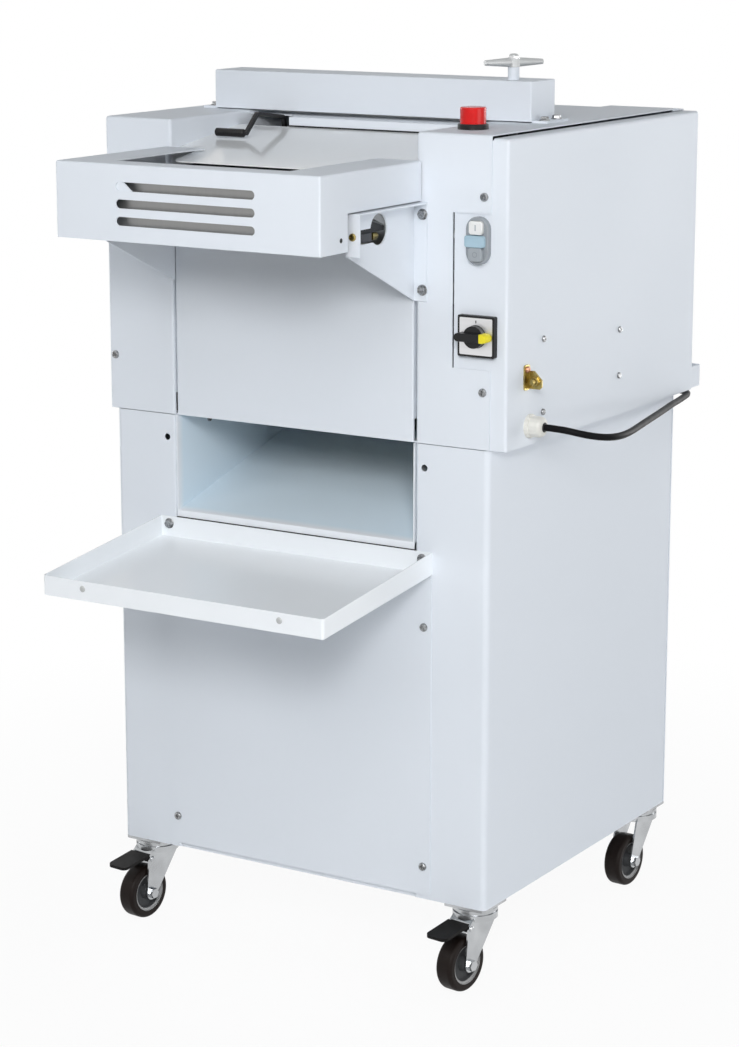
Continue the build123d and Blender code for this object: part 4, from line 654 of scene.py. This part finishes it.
def cross_head(mesh, matrix, radius, height):
    """Pan head with a cross recess."""
    profile = [(radius * share, height * rise) for share, rise in PAN_STEPS]
    rings = [ring(mesh, matrix, circle(reach), rise) for reach, rise in profile]
    for low, high in zip(rings, rings[1:]):
        skin(mesh, low, high)
    mesh.faces.new(rings[0])
    mouth = ring(mesh, matrix, scaled(plus(*RECESS_MOUTH), radius), height)
    foot = ring(mesh, matrix, scaled(plus(*RECESS_FOOT), radius), RECESS_FLOOR * height)
    skin(mesh, mouth, foot)
    mesh.faces.new(foot)
    bmesh.ops.triangle_fill(mesh, use_beauty=True, edges=ring_edges([rings[-1], mouth]))


# Hexagon head: shares of its flats, height and washer, and small steps in millimetres
CROWN_SHARE = 0.46
CHAMFER_START = 0.84
DISH_SHARE = 0.9
DISH_DEPTH = 0.15
WASHER_EDGE = 0.7
WASHER_BEVEL = 0.4


def hex_head(mesh, matrix, flats, height, washer_r, washer):
    """Hexagon head with a chamfered crown on its washer."""
    edge = [(washer_r, 0), (washer_r, WASHER_EDGE * washer), (washer_r - WASHER_BEVEL, washer)]
    lathe(mesh, matrix, edge)
    crown = circle(CROWN_SHARE * flats, HEX_STEPS)
    stack(
        mesh,
        matrix,
        (hexagon(flats), washer),
        (hexagon(flats), CHAMFER_START * height),
        (crown, height),
        (scaled(crown, DISH_SHARE), height - DISH_DEPTH),
    )


def add_piece(name, mesh, material, body, slot, *replaced):
    """Finish a mesh as a piece that rides on a body."""
    bmesh.ops.recalc_face_normals(mesh, faces=mesh.faces)
    data = bpy.data.meshes.new(name)
    mesh.to_mesh(data)
    mesh.free()
    data.shade_smooth()
    data.set_sharp_from_angle(angle=SHARP_EDGE)
    data.materials.append(material)
    piece = bpy.data.objects.new(name, data)
    bpy.context.collection.objects.link(piece)
    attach(piece, body)
    if replaced:
        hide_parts(*replaced)
    return piece


# Faces and lines of the casing that carry several pieces
PANEL_FACE = -1.5
HEAD_FACE = 0
BACK_FACE = 531.5
COVER_FACE = 318
CONTROL_X = 278

# Screws and bolts of the casing
SCREW_R = 5.5
COVER_SCREW_R = 4.2
SCREW_HEAD = 3.0
SCREW_TURN = 0.7
PANEL_SCREWS = [(x, PANEL_FACE, z) for x in (-192, 202) for z in (45, 370)]
BACK_SCREWS = [(x, BACK_FACE, z) for x in (-271, 281) for z in (45, 565)]
HEAD_SCREWS = [(x, HEAD_FACE, z) for x, z in ((285, 928), (285, 684), (-285, 684))]
COVER_SCREWS = [(COVER_FACE, y, z) for y, z in ((97, 648), (97, 742), (311, 664), (311, 726))]
screws = [(point, FRONT, SCREW_R) for point in PANEL_SCREWS]
screws += [(point, BACK, SCREW_R) for point in BACK_SCREWS]
screws += [(point, FRONT, SCREW_R) for point in HEAD_SCREWS]
screws += [(point, RIGHT, COVER_SCREW_R) for point in COVER_SCREWS]
mesh = bmesh.new()
for number, (point, axis, radius) in enumerate(screws):
    turned = stand(point, axis) @ Matrix.Rotation(SCREW_TURN * number, 4, "Z")
    cross_head(mesh, turned, radius, SCREW_HEAD)
add_piece("casing_screws", mesh, screw_zinc, "casing", "zinc", "panel_screws")

BOLT_FLATS = 10.0
BOLT_HEAD = 5.0
BOLT_TURN = 0.4
WASHER_R = 7.0
WASHER = 1.2
TRAY_BOLTS = [(x, PANEL_FACE, 460) for x in (-199, 199)]
BRACKET_BOLTS = [(x, -2, z) for x in (-198, 198) for z in (807, 902)]
BAR_BOLTS = [(x, y, 1007) for x in (-258, 258) for y in (204.25, 236.75)]
bolts = [(point, FRONT) for point in TRAY_BOLTS + BRACKET_BOLTS]
bolts += [(point, UP) for point in BAR_BOLTS]
mesh = bmesh.new()
for number, (point, axis) in enumerate(bolts):
    turned = stand(point, axis) @ Matrix.Rotation(BOLT_TURN * number, 4, "Z")
    hex_head(mesh, turned, BOLT_FLATS, BOLT_HEAD, WASHER_R, WASHER)
add_piece("casing_bolts", mesh, screw_zinc, "casing", "zinc", "hex_bolts")

TRAY_RIVETS = [(x, -259, 429.5) for x in (-150, 150)]
TRAY_RIVET_PROFILE = [(4.2, -0.5), (4.2, 0.4), (3.4, 1.0), (2.0, 1.3)]
mesh = bmesh.new()
for point in TRAY_RIVETS:
    lathe(mesh, stand(point, FRONT), TRAY_RIVET_PROFILE)
add_piece("tray_rivets", mesh, alloy, "casing", "zinc")

CHUTE_NUT = (-186.5, 74.8, 594)
mesh = bmesh.new()
hex_head(mesh, stand(CHUTE_NUT, RIGHT), flats=8.0, height=4.0, washer_r=5.5, washer=1.0)
add_piece("chute_nut", mesh, screw_zinc, "casing", "zinc")

# Main switch: silver face with a mark, and the yellow end of its handle
SWITCH_Z = 755
SWITCH_PLATE = (CONTROL_X, -6.2, SWITCH_Z)
PLATE_SIDE = 46.5
PLATE_CORNER = 1.5
PLATE_HOLE_R = 14.6
PLATE_THICK = 0.2
mesh = bmesh.new()
plate = rounded(PLATE_SIDE, PLATE_SIDE, PLATE_CORNER)
hoop(mesh, stand(SWITCH_PLATE, FRONT), plate, circle(PLATE_HOLE_R), 0, PLATE_THICK)
add_piece("switch_plate", mesh, silver_plate, "casing", "stainless")

SWITCH_MARK = (CONTROL_X, -6.4, 773.5)
SWITCH_MARK_PROUD = 0.08
mesh = bmesh.new()
tick = rounded(width=1.4, height=3.6, radius=0.3)
slab(mesh, stand(SWITCH_MARK, FRONT), tick, 0, SWITCH_MARK_PROUD)
add_piece("switch_mark", mesh, black_plastic, "casing", "black_plastic")

KNOB_FACE = (CONTROL_X, -6.5, SWITCH_Z)
TIP_START = 13.0
TIP_END = 17.8
TIP_HALF = 5.65
TIP_ROUND = 0.7
TIP_STEPS = 12


def tip_outline(half):
    """Straight sides from the handle's middle, and a round end."""
    arc = [pi * (step / TIP_STEPS - 0.5) for step in range(TIP_STEPS + 1)]
    end = [(TIP_END + half * cos(turn), half * sin(turn)) for turn in arc]
    return [(TIP_START, -half)] + end + [(TIP_START, half)]


mesh = bmesh.new()
tip_layers = [(TIP_HALF, 1), (TIP_HALF, 15.4), (TIP_HALF - TIP_ROUND, 16.3)]
tip_rings = [(tip_outline(half), proud) for half, proud in tip_layers]
stack(mesh, stand(KNOB_FACE, FRONT), *tip_rings)
add_piece("switch_tip", mesh, yellow_plastic, "switch_knob", "black_plastic")

# Push buttons: lamp lens between the caps, and their I and O marks
LENS = (277, -6.2, 873.6)
LENS_CORNER = 3
LENS_LAYERS = [(27, 14.5, -1), (27, 14.5, 5.2), (26, 13.5, 6.2), (23, 10.5, 6.6)]
START_FACE = (CONTROL_X, -10.2, 890.5)
STOP_FACE = (CONTROL_X, -11.2, 857.5)
MARK_SUNK = -0.2
MARK_PROUD = 0.15
mesh = bmesh.new()
lens_rings = [(rounded(width, height, LENS_CORNER), proud) for width, height, proud in LENS_LAYERS]
stack(mesh, stand(LENS, FRONT), *lens_rings)
add_piece("button_lens", mesh, lens_plastic, "casing", "grey_plastic")

mesh = bmesh.new()
stroke = rounded(width=1.5, height=7.5, radius=0.5)
slab(mesh, stand(START_FACE, FRONT), stroke, MARK_SUNK, MARK_PROUD)
add_piece("start_mark", mesh, grey_plastic, "start_button", "grey_plastic")

mesh = bmesh.new()
hoop(mesh, stand(STOP_FACE, FRONT), circle(3.6), circle(2.5), MARK_SUNK, MARK_PROUD)
add_piece("stop_mark", mesh, boot_silicone, "stop_button", "white_plastic")

# Ribbed grip of the gap lever
GRIP_END = (-122.5, 76, 983)
GRIP_R = 5.5
GROOVE_R = GRIP_R - 0.6
GRIP_LENGTH = 45.0
GRIP_LEAD = 1.8
GRIP_STEPS = 24
RIB_PITCH = 3.0
mesh = bmesh.new()
grip_profile = [(GRIP_R - 1.6, 0), (GRIP_R - 0.5, 0.7), (GRIP_R, GRIP_LEAD)]
for rib in range(int(GRIP_LENGTH / RIB_PITCH) - 1):
    rib_start = GRIP_LEAD + RIB_PITCH * rib
    grip_profile += [(GRIP_R, rib_start + 1.4), (GROOVE_R, rib_start + 1.8)]
    grip_profile += [(GROOVE_R, rib_start + 2.4), (GRIP_R, rib_start + 2.8)]
grip_profile += [(GRIP_R, GRIP_LENGTH - 0.8), (GRIP_R - 0.9, GRIP_LENGTH)]
lathe(mesh, stand(GRIP_END, LEFT), grip_profile, GRIP_STEPS)
add_piece("ribbed_grip", mesh, black_plastic, "gap_lever", "black_plastic", "lever_grip")

# Cable gland: fluted nut, domed cap and the black seal round the lead
GLAND = (COVER_FACE, 62, 635.5)
FLUTES = 16
GLAND_NUT = [(15.5, 0.3, 0), (15.5, 0.9, 0.8), (15.5, 0.9, 4.2), (14.8, 0.4, 5.0)]
GLAND_NECK = [(13.5, 0.3, 5.2), (13.5, 0.3, 16)]
GLAND_DOME = [(12.8, 0.2, 18.6), (11.4, 0.1, 20.6), (9.5, 0.0, 21.6), (7.0, 0.0, 22.0)]
GLAND_SEAL = [(6.4, 21.0), (6.4, 22.4), (5.6, 23.0), (5.0, 23.2)]
gland = stand(GLAND, RIGHT)
mesh = bmesh.new()
gland_layers = GLAND_NUT + GLAND_NECK + GLAND_DOME
gland_rings = [(fluted(radius, FLUTES, depth), rise) for radius, depth, rise in gland_layers]
stack(mesh, gland, *gland_rings)
add_piece("gland_body", mesh, gland_plastic, "casing", "off_white_plastic", "cable_gland")

mesh = bmesh.new()
lathe(mesh, gland, GLAND_SEAL)
add_piece("gland_seal", mesh, black_plastic, "casing", "black_plastic")

# Earth terminal: brass angle with its stud, nuts and a copper-coloured screw
EARTH_PLATE = (COVER_FACE, 52, 699)
EARTH_SHEET = 2
EARTH_LEG = (COVER_FACE, 59, 699)
EARTH_LEG_OUTLINE = [(0, -15), (17, -15), (20, -12), (20, -3), (9, 8), (0, 8)]
EARTH_STUD = (329, 59, 694)
EARTH_SCREW = (COVER_FACE + EARTH_SHEET, 52, 709)
STUD_R = 2.6
THREAD_R = 3.0
STUD_STEPS = 20
STUD_THREADS = 6
mesh = bmesh.new()
earth_plate = rounded(width=14, height=32, radius=3.5)
slab(mesh, stand(EARTH_PLATE, RIGHT), earth_plate, 0, EARTH_SHEET)
slab(mesh, stand(EARTH_LEG, FRONT), EARTH_LEG_OUTLINE, 0, EARTH_SHEET)
stud = stand(EARTH_STUD, FRONT)
hex_head(mesh, stud, flats=10.5, height=7.5, washer_r=6.4, washer=3.2)
stud_profile = [(STUD_R, 7.0)]
for thread in range(STUD_THREADS):
    stud_profile += [(THREAD_R, 7.4 + thread), (STUD_R, 7.9 + thread)]
lathe(mesh, stud, stud_profile, STUD_STEPS)
hex_head(mesh, stand(EARTH_STUD, BACK), flats=10.5, height=5, washer_r=6, washer=0.8)
add_piece("earth_angle", mesh, brass, "casing", "brass", "earth_terminal")

mesh = bmesh.new()
cross_head(mesh, stand(EARTH_SCREW, RIGHT), radius=4.4, height=2.6)
add_piece("earth_screw", mesh, copper, "casing", "brass")

# Behind the keyhole: the dark contact block of the switch and its brass nut
CONTACT = (169, -106, 882)
CONTACT_FOOT = rounded(width=25, height=11, radius=1.2)
CONTACT_TOP = rounded(width=24, height=10, radius=1)
CONTACT_NUT = (176, -92, 882)
mesh = bmesh.new()
contact_layers = [(CONTACT_FOOT, 0), (CONTACT_FOOT, 10.6), (CONTACT_TOP, 11.2)]
stack(mesh, stand(CONTACT, RIGHT), *contact_layers)
add_piece("interlock_contact", mesh, dark_steel, "casing", "dark_steel")

mesh = bmesh.new()
hex_head(mesh, stand(CONTACT_NUT, BACK), flats=9, height=14, washer_r=5.6, washer=1.0)
add_piece("interlock_nut", mesh, brass, "casing", "brass")

# Screw on the bracket's front flange
BRACKET_SCREW = (194, -160, 889)
mesh = bmesh.new()
cross_head(mesh, stand(BRACKET_SCREW, FRONT), radius=4.8, height=2.6)
add_piece("bracket_screw", mesh, brass, "casing", "brass")

# Painted shade: thin black discs on the guard's pivot pins, standing in for the dark pivot holes
PIVOT_X = 196
PIVOT_Y = -189
PIVOT_Z = 888
PIVOT_SHADE_DISC = [(2.9, -0.4), (2.9, 0.2), (2.2, 0.5)]
PIVOT_STEPS = 20
mesh = bmesh.new()
for axis, x in ((RIGHT, PIVOT_X), (LEFT, -PIVOT_X)):
    lathe(mesh, stand((x, PIVOT_Y, PIVOT_Z), axis), PIVOT_SHADE_DISC, PIVOT_STEPS)
add_piece("pivot_hole_shade", mesh, black_plastic, "casing", "black_plastic")

# Corner gusset of the guard, seen through its uppermost slot
GUSSET_PLANE = (0, -232.2, 0)
GUSSET_OUTLINE = [(-106, 932), (-74.6, 932), (-93, 947.2), (-106, 947.2)]
GUSSET_THICK = 1.2
mesh = bmesh.new()
slab(mesh, stand(GUSSET_PLANE, FRONT), GUSSET_OUTLINE, 0, GUSSET_THICK)
add_piece("guard_gusset", mesh, white_paint, "feed_guard", "white_paint")

# Cap nut on the pressure handle
CAP_NUT = (208, 211, 1084.2)
CAP_FLATS = 13
CAP_WASHER = [(8.2, 0), (8.2, 0.6), (7.8, 0.9)]
CAP_DOME = [(6.0, 3.2), (5.5, 4.4), (4.4, 5.3), (2.6, 5.9), (0.8, 6.1)]
cap_nut = stand(CAP_NUT, UP)
mesh = bmesh.new()
lathe(mesh, cap_nut, CAP_WASHER)
cap_rings = [(hexagon(CAP_FLATS), rise) for rise in (0.9, 2.8)]
cap_rings += [(circle(radius, HEX_STEPS), rise) for radius, rise in CAP_DOME]
stack(mesh, cap_nut, *cap_rings)
add_piece("cap_nut", mesh, chrome, "pressure_handle", "zinc")

# Painted shadow: thin black strips in the shadow gaps between the chute's apron and the tray, and
# under the top plate's lip
TRAY_SHADOW_STRIP = (-186, -0.75, 470.7)
TRAY_SHADOW_LENGTH = 374
LIP_SHADOW_STRIP = (-105, 157.4, 987.9)
LIP_SHADOW_LENGTH = 292
mesh = bmesh.new()
tray_shadow_outline = rounded(width=1.4, height=1.3, radius=0.4)
slab(mesh, stand(TRAY_SHADOW_STRIP, RIGHT), tray_shadow_outline, 0, TRAY_SHADOW_LENGTH)
lip_shadow_outline = rounded(width=1.0, height=1.8, radius=0.4)
slab(mesh, stand(LIP_SHADOW_STRIP, RIGHT), lip_shadow_outline, 0, LIP_SHADOW_LENGTH)
add_piece("painted_shadow_strips", mesh, black_plastic, "casing", "black_plastic")

# Rivet heads on the pins of the brake pedals
PEDAL_PIN_REACH = 17.55
PEDAL_RIVET = [(4.2, 0), (4.2, 0.7), (3.4, 1.5), (1.8, 1.9)]
PEDAL_RIVET_STEPS = 24
for joint in frame["joints"]:
    if joint["child"].startswith("pedal_"):
        mesh = bmesh.new()
        for side in (1, -1):
            axis = Vector(joint["axis"]) * side
            head = facing(Vector(joint["pos_m"]) + axis * PEDAL_PIN_REACH * MM, axis)
            lathe(mesh, head, PEDAL_RIVET, PEDAL_RIVET_STEPS)
        rivets = joint["child"].replace("pedal", "pedal_rivets")
        add_piece(rivets, mesh, zinc, joint["child"], "zinc")

# Tie round the coil of the lead, which goes with it
COIL_TIE = (-50.2, 613, -104.7)
TIE_WIDTH = 12
mesh = bmesh.new()
tie_outer = rounded(width=20.4, height=19.4, radius=5)
tie_inner = rounded(width=19.0, height=18.4, radius=4.4)
hoop(mesh, stand(COIL_TIE, BACK), tie_outer, tie_inner, 0, TIE_WIDTH)
coil_tie = add_piece("coil_tie", mesh, black_plastic, "casing", "black_plastic")

# Stage: pale floor, soft lamps and a plain sky that is darker overhead
FLOOR_SIZE = 16.0
FLOOR_WHITE = 0.93
FLOOR_GREY = (0.8, 0.8, 0.8)
SHADOW_REACH = (0.5, 1.5)
SKY_LEVEL = 0.13
SKY_TONES = [(0.0, (0.8, 0.91, 1.0)), (0.5, (0.68, 0.78, 0.86)), (1.0, (0.5, 0.57, 0.63))]
LAMP_TARGET = Vector((0, 0, 0.65))
half_floor = FLOOR_SIZE / 2
floor_mesh = bpy.data.meshes.new("floor")
quarters = ((-1, -1), (1, -1), (1, 1), (-1, 1))
floor_corners = [(x * half_floor, y * half_floor, 0) for x, y in quarters]
floor_mesh.from_pydata(floor_corners, [], [(0, 1, 2, 3)])
floor = bpy.data.objects.new("floor", floor_mesh)
bpy.context.collection.objects.link(floor)
floor_finish, floor_tree, floor_shader = new_material("floor")
mottled(floor_tree, floor_shader, scale=1.5, color=FLOOR_GREY, darkest=0.99, rough=0.7)
floor_mesh.materials.append(floor_finish)


def seen_rays(tree):
    """1 for a ray of the camera, of a reflection or through glass."""
    rays = tree.nodes.new("ShaderNodeLightPath").outputs
    mirrored = math_node(tree, "MAXIMUM", rays["Is Glossy Ray"], rays["Is Transmission Ray"])
    return math_node(tree, "MAXIMUM", rays["Is Camera Ray"], mirrored)


def mixed(tree, share, first, second, output):
    """Show the first shader, and as large a share as given of the second."""
    mix = tree.nodes.new("ShaderNodeMixShader")
    tree.links.new(share, mix.inputs[0])
    tree.links.new(first.outputs[0], mix.inputs[1])
    tree.links.new(second.outputs[0], mix.inputs[2])
    tree.links.new(mix.outputs[0], tree.nodes[output].inputs["Surface"])


def glow(tree, kind):
    """Plain white light of a shader node."""
    node = tree.nodes.new(kind)
    node.inputs["Color"].default_value = (*WHITE, 1)
    node.inputs["Strength"].default_value = 1.0
    return node


def whiten(tree, shader, near, share):
    """Mix white into the seen floor: a share by the object, all of it beyond its shadow."""
    reach = vector_node(tree, "LENGTH", object_coords(tree)).outputs["Value"]
    fade = span(tree, reach, share, 1, *near)
    amount = math_node(tree, "MULTIPLY", fade, seen_rays(tree))
    mixed(tree, amount, shader, glow(tree, "ShaderNodeEmission"), "Material Output")


def studio_sky():
    """White where the camera, a reflection or glass shows it, softer light elsewhere."""
    sky = bpy.data.worlds.new("studio")
    sky.use_nodes = True
    tree = sky.node_tree
    light = tree.nodes["Background"]
    direction = tree.nodes.new("ShaderNodeTexCoord").outputs["Generated"]
    split = tree.nodes.new("ShaderNodeSeparateXYZ")
    tree.links.new(direction, split.inputs[0])
    tree.links.new(ramp(tree, split.outputs["Z"], *SKY_TONES), light.inputs["Color"])
    light.inputs["Strength"].default_value = SKY_LEVEL
    mixed(tree, seen_rays(tree), light, glow(tree, "ShaderNodeBackground"), "World Output")
    bpy.context.scene.world = sky


def area_light(name, at, size, power):
    """Rectangular lamp that faces the object."""
    data = bpy.data.lights.new(name, "AREA")
    data.shape = "RECTANGLE"
    data.size, data.size_y = size
    data.energy = power
    lamp = bpy.data.objects.new(name, data)
    lamp.location = at
    lamp.rotation_euler = (LAMP_TARGET - Vector(at)).to_track_quat("-Z", "Y").to_euler()
    bpy.context.collection.objects.link(lamp)


studio_sky()
whiten(floor_tree, floor_shader, SHADOW_REACH, FLOOR_WHITE)
area_light("key", at=(2.1, -3.3, 2.2), size=(0.9, 0.9), power=66)
area_light("ahead", at=(0.8, -2.8, 2.9), size=(2.2, 2.2), power=37)
area_light("fill", at=(-2.2, -3.0, 2.3), size=(1.4, 1.4), power=14)
area_light("side", at=(3.6, -0.5, 1.05), size=(1.8, 2.2), power=26)
area_light("left", at=(-3.8, 0.7, 1.05), size=(1.8, 2.2), power=48)
area_light("back", at=(1.6, 3.8, 1.05), size=(2.0, 2.2), power=60)
bpy.context.scene.view_settings.view_transform = "Standard"
